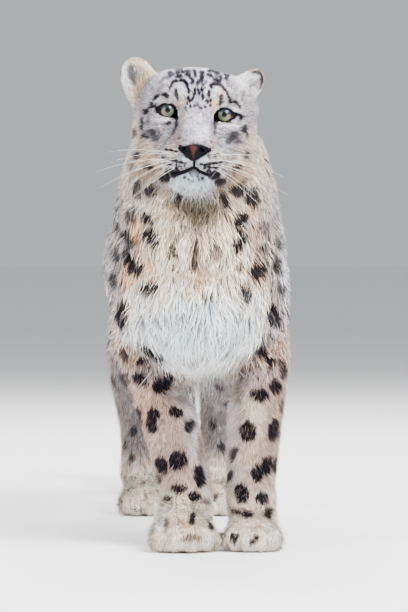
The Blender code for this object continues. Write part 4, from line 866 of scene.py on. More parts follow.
def base_colours(skin):
    """The coat's ground colour at each point of the skin, with painted shade in its hollows, on the fronts of the
    hind legs and in some tints.
    """
    kinds = skin.kinds
    x, y, z = skin.figure().T
    nx, ny, nz = skin.normals.T
    colour = np.tile(np.array(TONES["flank"]), (len(x), 1))
    body = np.isin(kinds, ("chest", "belly", "hips", "neck", "tail"))
    colour = mixed(colour, TONES["back"], body * soft(nz, -0.1, 0.8))
    colour = mixed(colour, TONES["leg"], (kinds == "foreleg") * 0.8)
    colour = mixed(colour, TONES["leg"], np.isin(kinds, ("hindleg", "hock")) * 0.35)
    colour = mixed(colour, TONES["paw"], np.isin(kinds, ("forepaw", "hindpaw")) * 1.0)
    colour = mixed(colour, TONES["face"], np.isin(kinds, ("head", "jaw")) * soft(-ny, -0.2, 0.3))
    # Painted shade: the fronts of the hind legs, behind the forelegs, take the back's grey.
    colour = mixed(colour, TONES["back"], np.isin(kinds, ("hindleg", "hock")) * soft(-ny, 0.1, 0.5) * 0.8)
    below = body * (y > 0.0) * (kinds != "neck") * (kinds != "tail")
    colour = mixed(colour, TONES["cream"], below * soft(-nz, -0.30, 0.30) * 0.35)
    colour = mixed(colour, TONES["white"], below * soft(-nz, 0.25, 0.75))
    colour = skin.spread(colour, 30)
    colour = mixed(colour, TONES["cream"], (kinds == "neck") * soft(-ny, -0.3, 0.3) * 0.35)
    colour = mixed(colour, TONES["cream"], skin.bib * 0.90)
    inner = np.isin(kinds, ("foreleg", "hindleg")) * soft(-nx * np.sign(x), 0.2, 0.8)
    colour = mixed(colour, TONES["white"], inner * 0.4)
    colour = mixed(colour, TONES["cream"], (kinds == "ear") * 0.85)
    across, down = seen(skin.points)
    facing = -skin.normals[:, 1]
    ahead = np.maximum(soft(facing, -0.2, 0.25), 0.7 * soft(-nz, 0.2, 0.6) * (y < 0.13))
    heads = np.isin(kinds, ("head", "jaw", "ear", "neck")) * ahead
    front_parts = np.isin(kinds, ("neck", "chest", "foreleg", "forepaw")) * (y < 0.16)
    bodies = (front_parts + (kinds == "belly")) * ahead
    below = soft(down - np.interp(across, *BIB_EDGE), -2, 5) * (kinds == "chest") * (y < 0.16)
    colour = mixed(colour, TONES["leg"], below * ahead * 0.9)
    behind = (kinds == "ear") * soft(skin.normals[:, 1], 0.1, 0.5)
    colour = mixed(colour, TONES["grey"], behind * 0.7)
    for tints, places in ((BODY_TINTS, bodies), (FACE_TINTS, heads)):
        for a, d, wide, high, tone, share in tints:
            reach = np.hypot((across - a) / wide, (down - d) / high)
            colour = mixed(colour, TONES[tone], places * share * (1 - soft(reach, 0.45, 1.40)))
    # Painted shade: the coat darkens in the skin's hollows, most of all between the toes.
    crease_shade = np.where(np.isin(kinds, ("forepaw", "hindpaw")), 0.85, 0.40)
    colour *= (1 - crease_shade * soft(skin.hollow, 0.0002, 0.0022))[:, None]
    return skin.spread(colour, 1)


# ---- coat ----
# Coat pieces: name, kinds of node, part of them, how many tufts, spikes with no bend or bent tufts.
COAT_PIECES = (
    ("coat_face", ("head", "jaw"), "face", 46000, "spike"),
    ("coat_brow", ("head", "jaw"), "brow", 34000, "spike"),
    ("coat_head", ("head", "jaw", "ear"), "rest", 28000, "spike"),
    ("coat_neck", ("neck",), "rest", 12000, "tuft"),
    ("coat_bib", ("neck", "chest"), "bib", 11600, "lock"),
    ("coat_chest", ("chest",), "rest", 11800, "tuft"),
    ("coat_flanks", ("belly",), "all", 10000, "tuft"),
    ("coat_hips", ("hips",), "all", 10500, "tuft"),
    ("coat_forelegs", ("foreleg",), "all", 32000, "spike"),
    ("coat_hindlegs", ("hindleg", "hock"), "all", 20000, "spike"),
    ("coat_paws", ("forepaw", "hindpaw"), "all", 30000, "spike"),
    ("coat_tail", ("tail",), "all", 8000, "lock"),
)
# Rings of each sort of tuft from root to tip: share along, share of the width, share of the height.
TUFT_RINGS = {
    "spike": ((0.0, 1.0, -0.25),),
    "tuft": ((0.0, 0.75, -0.20), (0.50, 1.0, 0.62)),
    "lock": ((0.0, 0.70, -0.15), (0.34, 1.0, 0.55), (0.70, 0.72, 0.92)),
}
THICKNESS = 0.55
# Painted shade: each tuft is darker at its root, where the hair above shades it, and lighter at its tip.
ROOT_SHADE, TIP_SHADE = 0.26, 1.26  # brightness at a tuft's root and tip
PALE_ROOT_SHADES = {"coat_bib": 0.42, "coat_paws": 0.85}  # brightness at the roots of pale hair
SOFTNESS = 0.35  # how far the hair is shaded by the skin's own normals


def tuft_faces(rings):
    """The faces of one tuft: its closed root, its sides and its tip."""
    faces = [(0, 2, 1)]
    for r in range(rings - 1):
        for k in range(3):
            n = (k + 1) % 3
            faces.append((3 * r + k, 3 * r + n, 3 * r + 3 + n, 3 * r + 3 + k))
    last = 3 * (rings - 1)
    for k in range(3):
        faces.append((last + k, last + (k + 1) % 3, last + 3))
    return faces


class Coat:
    """Makes the coat's pieces over the finished skin."""

    def __init__(self, skin, uvs):
        self.skin = skin
        mesh = skin.mesh
        mesh.calc_loop_triangles()
        count = len(mesh.loop_triangles)
        self.corners = np.empty(count * 3, int)
        mesh.loop_triangles.foreach_get("vertices", self.corners)
        self.corners = self.corners.reshape(-1, 3)
        loops = np.empty(count * 3, int)
        mesh.loop_triangles.foreach_get("loops", loops)
        self.uvs = uvs[loops].reshape(-1, 3, 2)
        a, b, c = (skin.points[self.corners[:, k]] for k in range(3))
        self.areas = np.linalg.norm(np.cross(b - a, c - a), axis=1) / 2
        polygons = [p.vertices[:] for p in mesh.polygons]
        self.tree = BVHTree.FromPolygons([tuple(p) for p in skin.points], polygons)
        self.near = KDTree(len(skin.points))
        for k, point in enumerate(skin.points):
            self.near.insert(Vector(point), k)
        self.near.balance()
        self.colour = base_colours(skin)
        self.rosettes = Rosettes(skin)
        self.bare = bare_places(skin)

    def chosen_faces(self, kinds, part):
        """The share of each triangle that belongs to a coat piece."""
        skin, corners = self.skin, self.corners
        inside = np.isin(skin.kinds[corners[:, 0]], kinds)
        brow = skin.brow[corners[:, 0]] > 0.5
        face = (skin.face[corners[:, 0]] > 0.5) & ~brow
        bib = skin.bib[corners[:, 0]] > 0.35
        wanted = {"brow": brow, "face": face, "bib": bib, "rest": ~(brow | face | bib)}
        if part in wanted:
            inside &= wanted[part]
        return inside & ~self.bare[corners].any(axis=1)

    def laid(self, places, want_normal=True):
        """The nearest points of the skin and its normals there."""
        spots = np.empty_like(places)
        ways = np.empty_like(places)
        for k, place in enumerate(places):
            spot, way, _, _ = self.tree.find_nearest(Vector(place))
            spots[k], ways[k] = spot, way
        return spots, ways

    def beside(self, places):
        """The number of the skin's point nearest to each place."""
        return np.array([self.near.find(Vector(place))[1] for place in places])

    def piece(self, name, kinds, part, count, sort, seed):
        """One coat piece: its points, faces, colours and bake map."""
        skin = self.skin
        draw = np.random.default_rng(seed)
        length, width = skin.length[self.corners].mean(1), skin.width[self.corners].mean(1)
        share = self.areas * self.chosen_faces(kinds, part) / (length * width)
        face = draw.choice(len(share), count, p=share / share.sum())
        u, v = draw.random(count), draw.random(count)
        over = u + v > 1
        u[over], v[over] = 1 - u[over], 1 - v[over]
        bary = np.stack([1 - u - v, u, v], axis=1)[:, :, None]
        corners = self.corners[face]

        def at(values):
            rows = values[corners]
            return (rows * bary).sum(1) if rows.ndim == 3 else (rows * bary[:, :, 0]).sum(1)

        roots = at(skin.points)
        normals = unit(at(skin.normals))
        lie = at(skin.lie)
        side = np.cross(lie, normals)
        loose = 1.7 if part in ("bib", "rest") else 1.0
        stray = 0.16 * draw.normal(size=count) + 0.22 * ripple(roots, 0.035, SEED + 21)
        stray = stray * loose + 0.10 * ripple(roots, 0.012, SEED + 23)
        lie = unit(lie + side * stray[:, None])
        side = unit(np.cross(lie, normals))
        lengths = at(skin.length) * draw.uniform(0.72, 1.18, count)
        lengths *= 1 + 0.12 * ripple(roots, 0.05, SEED + 22)
        widths = at(skin.width) * draw.uniform(0.75, 1.3, count)
        heights = at(skin.height) * draw.uniform(0.45, 1.25, count)
        droop = at(skin.droop) * lengths
        kinds_here = skin.kinds[corners[:, 0]]

        tips = roots + lie * lengths[:, None]
        tips, tip_normals = self.laid(tips)
        clump = self.clumps(roots, draw, count)
        if sort != "spike":
            tips = self.gathered(roots, tips, clump, draw)
        rings = []
        for along, wide, high in TUFT_RINGS[sort]:
            if along == 0:
                middle, normal = roots, normals
            else:
                middle, normal = self.laid(roots + (tips - roots) * along)
            middle = middle + normal * (heights * high)[:, None]
            middle[:, 2] -= droop * along ** 2
            for corner, lift in ((-1, 0.0), (0, THICKNESS), (1, 0.0)):
                spot = middle + side * (widths * wide * corner)[:, None]
                rings.append(spot + normal * (widths * wide * lift)[:, None])
        end = tips + tip_normals * heights[:, None]
        end[:, 2] -= droop
        points = np.stack(rings + [end], axis=1)
        points[:, :, 2] = np.maximum(points[:, :, 2], 0.0006)

        per = points.shape[1]
        facing = -normals[:, 1]
        fine = part in ("face", "brow")
        ground = mixed(at(self.colour), self.colour[self.beside(tips)], np.full(count, 0.85))
        ground = self.varied(ground, roots, clump, draw, fine)
        slip = (tips - roots) * draw.normal(0, 0.04 if fine else 0.13, (count, 1))
        hold = np.where(draw.random(count) < (0.04 if fine else 0.10), 0.80, 1.0)
        root_shade = PALE_ROOT_SHADES.get(name, ROOT_SHADE)
        colours = np.empty((count, per, 3))
        stops = [along for along, _, _ in TUFT_RINGS[sort]] + [1.0]
        for r, along in enumerate(stops):
            reach = 0.56 + 0.26 * along
            place = roots + (tips - roots) * reach + slip
            place += normals * (heights * (0.40 + 0.5 * along))[:, None]
            place[:, 2] -= droop * reach ** 2
            tinted = coat_colours(
                place, facing, kinds_here, normals, lie, ground, self.rosettes, hold
            )
            # painted shade along the tuft, dark at the root and light at the tip
            shade = root_shade + (TIP_SHADE - root_shade) * along ** 0.8
            colours[:, 3 * r : 3 * r + 3] = (tinted * shade)[:, None]
        root_uv = (self.uvs[face] * bary).sum(1)
        half = PATCH / 2
        offsets = np.zeros((per, 2))
        steps = len(TUFT_RINGS[sort])
        for r in range(steps):
            for k in range(3):
                offsets[3 * r + k] = ((k - 1) * half, -half + PATCH * r / steps)
        offsets[-1] = (0, half)
        uv = np.clip(root_uv[:, None, :] + offsets[None], 0.0, 1.0)
        return joined_tufts(name, points, tuft_faces(steps), colours, uv, normals)

    def clumps(self, roots, draw, count):
        """For each tuft, the neighbour that it gathers to, as hair gathers in locks."""
        centres = draw.choice(count, max(1, count // 8), replace=False)
        tree = KDTree(len(centres))
        for n, k in enumerate(centres):
            tree.insert(Vector(roots[k]), n)
        tree.balance()
        return centres[[tree.find(Vector(root))[1] for root in roots]]

    def gathered(self, roots, tips, clump, draw):
        """The tips of neighbouring tufts drawn together."""
        pull = (0.46 * draw.uniform(0.4, 1.3, len(roots)))[:, None]
        goal = roots + (tips[clump] - roots[clump])
        return tips + ((tips[clump] - tips) * 0.6 + (goal - tips) * 0.4) * pull

    def varied(self, colour, roots, clump, draw, fine):
        """Colours with the differences between one tuft and the next, and from lock to lock."""
        count = len(roots)
        mottle = 0.25 * ripple(roots, 0.0060, SEED + 32) + 0.16 * ripple(roots, 0.013, SEED + 33)
        patches = 0.05 * ripple(roots, 0.03, SEED + 31) + mottle * (1.0 if fine else 0.35)
        lock = draw.normal(size=count)[clump] * (0.22 if fine else 0.19)
        light = np.exp((0.42 if fine else 0.20) * draw.normal(size=count) + patches + lock)
        ticked = draw.random(count) < 0.07 + 0.05 * ripple(roots, 0.02, SEED + 34)
        light = np.where(ticked, light * 0.42, light)
        warm = 0.05 * draw.normal(size=count) + 0.03 * ripple(roots, 0.012, SEED + 35)
        tint = np.stack([1 + warm, np.ones(len(roots)), 1 - warm], axis=1)
        return colour * light[:, None] * tint


def joined_tufts(name, points, template, colours, uvs, normals):
    """A mesh of all the tufts, given each tuft's points and the faces of one."""
    count, per = points.shape[:2]
    mesh = bpy.data.meshes.new(name)
    sizes = np.array([len(f) for f in template])
    flat = np.concatenate([np.array(f) for f in template])
    index = (flat[None] + per * np.arange(count)[:, None]).ravel()
    starts = np.concatenate([[0], np.cumsum(np.tile(sizes, count))[:-1]])
    mesh.vertices.add(count * per)
    mesh.vertices.foreach_set("co", points.ravel())
    mesh.loops.add(len(index))
    mesh.loops.foreach_set("vertex_index", index)
    mesh.polygons.add(len(starts))
    mesh.polygons.foreach_set("loop_start", starts)
    mesh.update(calc_edges=True)
    mesh.shade_smooth()
    own = np.empty(count * per * 3)
    mesh.vertex_normals.foreach_get("vector", own)
    softer = unit(own.reshape(-1, 3) * (1 - SOFTNESS) + np.repeat(normals, per, axis=0) * SOFTNESS)
    mesh.normals_split_custom_set_from_vertices(softer)
    set_colours(mesh, colours.reshape(-1, 3))
    layer = mesh.uv_layers.new(name="OFBake")
    layer.uv.foreach_set("vector", uvs.reshape(-1, 2)[index].ravel())
    return mesh


def set_colours(mesh, colours):
    """Gives the mesh its coat colours as an attribute of its points."""
    layer = mesh.color_attributes.new("coat", "FLOAT_COLOR", "POINT")
    rows = np.ones((len(colours), 4))
    rows[:, :3] = np.clip(colours, 0, 1)
    layer.data.foreach_set("color", rows.ravel())


def bare_places(skin):
    """Where no hair grows: the eyes, the nose, the lips and the soles."""
    head = skin.head()
    bare = (skin.points[:, 2] < 0.004) & (skin.normals[:, 2] < -0.5)
    for side in (-1, 1):
        turn, reach = eye_turns(head, side)
        inside = reach < lid_reach(turn, 2) * 0.97
        bare |= inside & (head[:, 1] < 0.03)
    across, down = seen(skin.points)
    front = head[:, 1] < -0.028
    low = np.interp(across, [178, 186, 194.7, 203, 212], [150, 156, 161, 156, 151])
    high = np.interp(across, [178, 183, 189, 195, 200, 206, 212], [143, 146, 145.8, 147.4, 147, 148.5, 147.0])
    bare |= front & (across > 179) & (across < 211.5) & (down > high) & (down < low)
    lip = np.interp(across, *MOUTH_LINE)
    wide = np.interp(np.abs(across - 194), [0, 16, 20], [0.9, 1.2, 1.6])
    bare |= front & (across > 172) & (across < 212) & (np.abs(down - lip) < wide)
    return bare


# The line of the mouth in the photograph's pixels, across and down.
MOUTH_LINE = (
    (171.1, 175.0, 178.2, 185.8, 190.0, 193.9, 197.0, 199.2, 205.6, 211.3),
    (175.2, 174.6, 173.7, 171.2, 168.9, 167.0, 168.9, 170.9, 174.0, 175.8),
)


# ---- materials ----
class Value:
    """Wraps a socket, so that shader sums are written as Python sums."""

    def __init__(self, maker, socket):
        self.maker, self.socket = maker, socket

    def maths(self, operation, first, second):
        return self.maker.node("ShaderNodeMath", {"operation": operation}, {0: first, 1: second})

    def __add__(self, other):
        return self.maths("ADD", self, other)

    def __radd__(self, other):
        return self.maths("ADD", other, self)

    def __sub__(self, other):
        return self.maths("SUBTRACT", self, other)

    def __rsub__(self, other):
        return self.maths("SUBTRACT", other, self)

    def __mul__(self, other):
        return self.maths("MULTIPLY", self, other)

    def __rmul__(self, other):
        return self.maths("MULTIPLY", other, self)

    def __truediv__(self, other):
        return self.maths("DIVIDE", self, other)


class Finish:
    """A material under construction."""

    def __init__(self, name, **constants):
        self.material = bpy.data.materials.new(name)
        self.material.use_nodes = True
        self.tree = self.material.node_tree
        self.shader = self.tree.nodes["Principled BSDF"]
        for socket, value in constants.items():
            self.shader.inputs[socket.replace("_", " ")].default_value = value

    def node(self, kind, settings, inputs, output=0):
        """Adds a node with its settings, then its sockets' values or links, and returns one output."""
        node = self.tree.nodes.new(kind)
        for name, value in settings.items():
            setattr(node, name, value)
        for name, value in inputs.items():
            if isinstance(value, Value):
                self.tree.links.new(value.socket, node.inputs[name])
            else:
                node.inputs[name].default_value = value
        return Value(self, node.outputs[output])

    def ramp(self, factor, stops):
        """A colour ramp over stops of place and colour."""
        node = self.tree.nodes.new("ShaderNodeValToRGB")
        elements = node.color_ramp.elements
        while len(elements) < len(stops):
            elements.new(0.5)
        for element, (place, colour) in zip(elements, stops):
            element.position = place
            element.color = (*colour, 1)
        self.tree.links.new(factor.socket, node.inputs[0])
        return Value(self, node.outputs[0])

    def mix(self, factor, first, second):
        """A mix of two colours."""
        settings = {"data_type": "RGBA"}
        return self.node("ShaderNodeMix", settings, {0: factor, 6: first, 7: second}, 2)

    def put(self, socket, value):
        """Links a value to one of the shader's sockets."""
        self.tree.links.new(value.socket, self.shader.inputs[socket])

    def bump(self, height, strength, distance):
        """Gives the shader a bump."""
        settings = {"Height": height, "Strength": strength, "Distance": distance}
        self.put("Normal", self.node("ShaderNodeBump", {}, settings))


def coat_material(name, roughness, settings, strands):
    """Hair: the coat's own colours with a fine streak from strand to strand."""
    finish = Finish(name, Roughness=roughness, Sheen_Weight=settings.sheen)
    finish.shader.inputs["Specular IOR Level"].default_value = settings.shine
    colour = finish.node("ShaderNodeAttribute", {"attribute_name": "coat"}, {})
    place = finish.node("ShaderNodeTexCoord", {}, {}, 3)
    speck = finish.node(
        "ShaderNodeTexNoise", {}, {"Vector": place, "Scale": strands, "Detail": 3.0}
    )
    dark = finish.node("ShaderNodeVectorMath", {"operation": "SCALE"}, {0: colour, 3: 0.78})
    finish.put("Base Color", finish.mix(speck, dark, colour))
    finish.put("Roughness", speck * 0.16 + (roughness - 0.08))
    finish.bump(speck, 0.25, 0.0006)
    return finish.material


def eye_material(settings):
    """The eyeball: pupil, iris with its fibres, and a dark rim, under a clear gloss, with a painted shadow and
    painted reflection on the top of the iris.
    """
    finish = Finish("eye", Roughness=0.22, Specular_IOR_Level=0.18, Coat_Weight=0.10, Coat_Roughness=0.03)
    uv = finish.node("ShaderNodeUVMap", {"uv_map": "iris"}, {})
    parts = finish.tree.nodes.new("ShaderNodeSeparateXYZ")
    finish.tree.links.new(uv.socket, parts.inputs[0])
    u, v = (Value(finish, parts.outputs[k]) - 0.5 for k in range(2))
    reach = finish.node("ShaderNodeMath", {"operation": "SQRT"}, {0: u * u + v * v})
    turn = finish.node("ShaderNodeMath", {"operation": "ARCTAN2"}, {0: v, 1: u})
    spoke = finish.node(
        "ShaderNodeCombineXYZ", {}, {0: turn * 5.0, 1: reach * 2.2}
    )
    fibres = finish.node(
        "ShaderNodeTexNoise", {}, {"Vector": spoke, "Scale": 3.0, "Detail": 4.0}
    )
    iris = finish.ramp(
        reach + (fibres - 0.5) * 0.07,
        (
            (0.0, (0.03, 0.04, 0.03)), (0.15, (0.055, 0.075, 0.045)), (0.27, settings.iris),
            (0.40, settings.iris_rim), (0.455, (0.09, 0.07, 0.035)), (0.50, (0.006, 0.005, 0.006)),
        ),
    )
    warm = finish.node("ShaderNodeMath", {"operation": "MULTIPLY", "use_clamp": True}, {0: u, 1: 1.1})
    iris = finish.mix(warm, iris, (0.20, 0.125, 0.045, 1))
    # Painted shadow of the upper lid and painted dark reflection: the iris darkens towards its top.
    shade = finish.node(
        "ShaderNodeMapRange", {"interpolation_type": "SMOOTHSTEP"}, {0: v + u * 0.15, 1: -0.06, 2: 0.24}
    )
    iris = finish.mix(shade, iris, (0.010, 0.016, 0.020, 1))
    white = finish.node("ShaderNodeMath", {"operation": "GREATER_THAN"}, {0: reach, 1: 0.475})
    iris = finish.mix(white, iris, (0.005, 0.004, 0.005, 1))
    pupil = finish.node("ShaderNodeMath", {"operation": "LESS_THAN"}, {0: reach, 1: 0.20})
    finish.put("Base Color", finish.mix(pupil, iris, (0.002, 0.002, 0.003, 1)))
    return finish.material


def leather_material(name, colour, dark, middle, half, roughness):
    """Bare skin, such as the nose: one colour in the middle and a dark one to the sides."""
    finish = Finish(name, Roughness=roughness, Specular_IOR_Level=0.05)
    place = finish.node("ShaderNodeTexCoord", {}, {}, 3)
    parts = finish.tree.nodes.new("ShaderNodeSeparateXYZ")
    finish.tree.links.new(place.socket, parts.inputs[0])
    x = Value(finish, parts.outputs[0])
    fall = (Value(finish, parts.outputs[2]) - middle.z) * -0.3
    away = finish.node("ShaderNodeMath", {"operation": "ABSOLUTE"}, {0: x - middle.x}) + fall
    grain = finish.node("ShaderNodeTexVoronoi", {}, {"Vector": place, "Scale": 900.0})
    blotch = finish.node("ShaderNodeTexNoise", {}, {"Vector": place, "Scale": 260.0, "Detail": 3.0})
    share = finish.node(
        "ShaderNodeMapRange",
        {"interpolation_type": "SMOOTHSTEP"},
        {0: away + (blotch - 0.5) * half, 1: half * 0.75, 2: half * 1.35},
    )
    finish.put("Base Color", finish.mix(share, (*colour, 1), (*dark, 1)))
    finish.put("Roughness", grain * 0.2 + roughness)
    finish.bump(grain, 0.35, 0.0004)
    return finish.material


def floor_material(settings):
    """A plain pale floor with a faint unevenness."""
    finish = Finish("floor", Roughness=0.85)
    place = finish.node("ShaderNodeTexCoord", {}, {}, 3)
    noise = finish.node("ShaderNodeTexNoise", {}, {"Vector": place, "Scale": 1.5, "Detail": 2.0})
    low = tuple(0.97 * c for c in settings.floor)
    finish.put("Base Color", finish.mix(noise, (*low, 1), (*settings.floor, 1)))
    return finish.material


# ---- settings ----
def size(name, description, default, unit="LENGTH"):
    """A number that a user may change."""
    return bpy.props.FloatProperty(
        name=name, description=description, default=default, unit=unit, precision=4
    )


def tone(name, description, default):
    """A colour that a user may change."""
    return bpy.props.FloatVectorProperty(
        name=name, description=description, default=default, subtype="COLOR", min=0, max=1
    )


class CoatSettings(bpy.types.PropertyGroup):
    """What a user may change about the coat."""

    shine: bpy.props.FloatProperty(
        name="Shine", description="Gloss of the hair", default=0.06, min=0, max=1
    )
    sheen: bpy.props.FloatProperty(
        name="Sheen", description="Soft glow at grazing angles", default=0.0, min=0, max=1
    )
    whisker_reach: size("Whisker length", "Length of the longest whiskers", 0.095)
    whisker_radius: size("Whisker radius", "Radius of a whisker at its root", 0.00024)


class FaceSettings(bpy.types.PropertyGroup):
    """What a user may change about the eyes and nose."""

    iris: tone("Iris", "Pale ring of the iris", (0.078, 0.112, 0.076))
    iris_rim: tone("Iris edge", "Outer ring of the iris", (0.090, 0.108, 0.060))
    iris_radius: size("Iris radius", "Radius of the coloured iris", 0.0089)
    nose_pink: tone("Nose", "Middle of the nose", (0.040, 0.0120, 0.0130))
    nose_dark: tone("Nose edge", "Wings of the nose and the lips", (0.0022, 0.0018, 0.0030))


class StageSettings(bpy.types.PropertyGroup):
    """What a user may change about the floor and light."""

    floor: tone("Floor", "Colour of the floor", (0.95, 0.95, 0.945))
    key: bpy.props.FloatProperty(name="Key", description="Power of the key light", default=640.0)
    fill: bpy.props.FloatProperty(name="Fill", description="Power of the fill light", default=190.0)
    sky: bpy.props.FloatProperty(name="Sky", description="Strength of the world light", default=0.72)


STATE = {}


class LEOPARD_OT_skin(bpy.types.Operator):
    """Makes the one skin that stands for every node of flesh"""

    bl_idname = "leopard.skin"
    bl_label = "Skin"

    def execute(self, context):
        joined, owners = merged_copy(FLESH + EYES + ("nose",))
        mesh = bpy.data.meshes.new("merged")
        joined.to_mesh(mesh)
        obj = object_of("skin", mesh)
        remesh = obj.modifiers.new("Remesh", "REMESH")
        remesh.mode = "VOXEL"
        remesh.voxel_size = SKIN_VOXEL
        obj.data = evaluated(obj)
        obj.modifiers.clear()
        self.refine(obj.data)
        points = [v.co for v in obj.data.vertices]
        names = nearest_kinds(points, joined, owners)
        joined.free()
        kinds = np.array([kind_of(name) for name in names])
        kinds[np.isin(kinds, ("eye", "nose"))] = "head"
        skin = Skin(obj.data, kinds)
        shape_skin(skin)
        dress_skin(skin)
        obj.data.shade_smooth()
        uvs = self.unwrapped(obj)
        STATE["skin"], STATE["coat"] = skin, Coat(skin, uvs)
        coat = STATE["coat"]
        colours = coat_colours(
            skin.points, -skin.normals[:, 1], skin.kinds, skin.normals, skin.lie,
            coat.colour, coat.rosettes, 1.0,
        )
        bare = coat.bare & (skin.points[:, 2] > 0.1)
        # Painted shade: the skin under the hair is darker than the coat, and bare places go dark.
        colours = mixed(colours * 0.55, TONES["dark"], bare)
        set_colours(obj.data, colours)
        obj.data.materials.clear()
        settings = context.scene.leopard_coat
        obj.data.materials.append(coat_material("skin", 0.85, settings, 420.0))
        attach(obj, "root")
        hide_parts(*FLESH)
        return {"FINISHED"}

    def refine(self, mesh):
        """Halves the faces of the front of the head."""
        bm = bmesh.new()
        bm.from_mesh(mesh)
        back = HEAD.inverted()
        edges = []
        for edge in bm.edges:
            spot = back @ ((edge.verts[0].co + edge.verts[1].co) / 2)
            if spot.y < 0.045 and -0.12 < spot.z < 0.070 and abs(spot.x) < 0.092:
                edges.append(edge)
        bmesh.ops.subdivide_edges(bm, edges=edges, cuts=1, use_grid_fill=True)
        edges = []
        for edge in bm.edges:
            spot = back @ ((edge.verts[0].co + edge.verts[1].co) / 2)
            off = math.hypot(abs(spot.x) - EYE_X, spot.z)
            mouth = abs(spot.x) < 0.034 and -0.094 < spot.z < -0.040 and spot.y < -0.005
            if (off < 0.024 and spot.y < 0.03) or mouth:
                edges.append(edge)
        bmesh.ops.subdivide_edges(bm, edges=edges, cuts=1, use_grid_fill=True)
        bm.to_mesh(mesh)
        bm.free()
        mesh.update()

    def unwrapped(self, obj):
        """Unwraps the skin and returns the place of each face corner on the map."""
        bpy.ops.object.select_all(action="DESELECT")
        obj.select_set(True)
        bpy.context.view_layer.objects.active = obj
        obj.data.uv_layers.new(name="OFBake")
        bpy.ops.object.mode_set(mode="EDIT")
        bpy.ops.mesh.select_all(action="SELECT")
        bpy.ops.uv.smart_project(angle_limit=math.radians(66), island_margin=0.002)
        bpy.ops.object.mode_set(mode="OBJECT")
        uvs = np.empty(len(obj.data.loops) * 2)
        obj.data.uv_layers["OFBake"].uv.foreach_get("vector", uvs)
        return uvs.reshape(-1, 2)


class LEOPARD_OT_coat(bpy.types.Operator):
    """Grows the coat as joined tufts, piece by piece"""

    bl_idname = "leopard.coat"
    bl_label = "Coat"

    def execute(self, context):
        settings = context.scene.leopard_coat
        hair = coat_material("hair", 0.62, settings, 700.0)
        coat = STATE["coat"]
        share = 1.0
        for number, (name, kinds, part, count, sort) in enumerate(COAT_PIECES):
            mesh = coat.piece(name, kinds, part, int(count * share), sort, SEED + 100 + number)
            mesh.materials.append(hair)
            obj = object_of(name, mesh)
            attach(obj, "root")
        return {"FINISHED"}


class LEOPARD_OT_eyes(bpy.types.Operator):
    """Makes the two eyeballs and the black lids round them"""

    bl_idname = "leopard.eyes"
    bl_label = "Eyes and lids"

    def execute(self, context):
        settings = context.scene.leopard_face
        finish = eye_material(settings)
        dark = leather_material(
            "lid", settings.nose_dark, settings.nose_dark, HEAD.translation, 0.01, 0.32
        )
        for side, node in ((1, "eye_left"), (-1, "eye_right")):
            ball = self.ball(side, node, settings)
            ball.data.materials.append(finish)
            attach(ball, "root")
            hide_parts(node)
            lid = object_of(node.replace("eye", "lid"), self.lid(side))
            lid.data.materials.append(dark)
            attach(lid, "root")
        return {"FINISHED"}

    def ball(self, side, node, settings):
        """One eyeball with a raised cornea, and a map that is centred on its iris."""
        bpy.ops.object.select_all(action="DESELECT")
        bpy.ops.mesh.primitive_uv_sphere_add(segments=64, ring_count=40, radius=EYE_RADIUS)
        obj = bpy.context.object
        obj.name = node.replace("eye", "eyeball")
        mesh = obj.data
        mesh.transform(Matrix.Rotation(math.pi / 2, 4, "X"))
        iris = settings.iris_radius
        for v in mesh.vertices:
            reach = math.hypot(v.co.x, v.co.z)
            if v.co.y < 0 and reach < iris * 1.15:
                v.co.y -= 0.0011 * (1 - (reach / (iris * 1.15)) ** 2)
        layer = mesh.uv_layers.new(name="iris")
        for loop in mesh.loops:
            spot = mesh.vertices[loop.vertex_index].co
            front = 0.47 / iris
            u = spot.x * side * front + 0.5
            layer.uv[loop.index].vector = (u, spot.z * front + 0.5) if spot.y < 0 else (0.0, 0.0)
        mesh.shade_smooth()
        mesh.transform(Matrix.Translation(middle_of(node)) @ HEAD.to_3x3().to_4x4())
        return obj

    def lid(self, side):
        """The black rim of one eye: a closed band from the eyeball to the skin."""
        tree = STATE["coat"].tree
        bm = bmesh.new()
        rings = []
        for turn in np.arange(0, 360, 6):
            inner, outer = lid_reach(turn, 1), lid_reach(turn, 2)
            way = Vector((side * math.cos(math.radians(turn)), 0, math.sin(math.radians(turn))))
            centre = Vector((side * EYE_X, 0, 0))
            ring = []
            for reach, lift in (
                (inner * 0.93, -0.0002), (inner, 0.0013), (mixed(inner, outer, 0.5), 0.0014),
                (outer, 0.0004), (outer * 1.02, -0.0020), (inner * 0.98, -0.0030),
            ):
                flat = centre + way * float(reach)
                off = min(float(reach), EYE_RADIUS * 0.97)
                ball_y = EYE_SET_BACK - math.sqrt(EYE_RADIUS ** 2 - off ** 2)
                start = HEAD @ Vector((flat.x, -0.2, flat.z))
                hit, _, _, _ = tree.ray_cast(start, BACK)
                skin_y = (HEAD.inverted() @ hit).y if hit else ball_y
                blend = float(soft(reach, float(inner), float(outer)))
                surface = min(ball_y, 0.02) * (1 - blend) + min(skin_y, 0.02) * blend
                ring.append(bm.verts.new(HEAD @ Vector((flat.x, surface - lift, flat.z))))
            rings.append(ring)
        for a, b in zip(rings, rings[1:] + rings[:1]):
            for k in range(len(a)):
                n = (k + 1) % len(a)
                bm.faces.new((a[k], a[n], b[n], b[k]))
        bmesh.ops.recalc_face_normals(bm, faces=bm.faces)
        mesh = bpy.data.meshes.new("lid")
        bm.to_mesh(mesh)
        bm.free()
        mesh.shade_smooth()
        return mesh


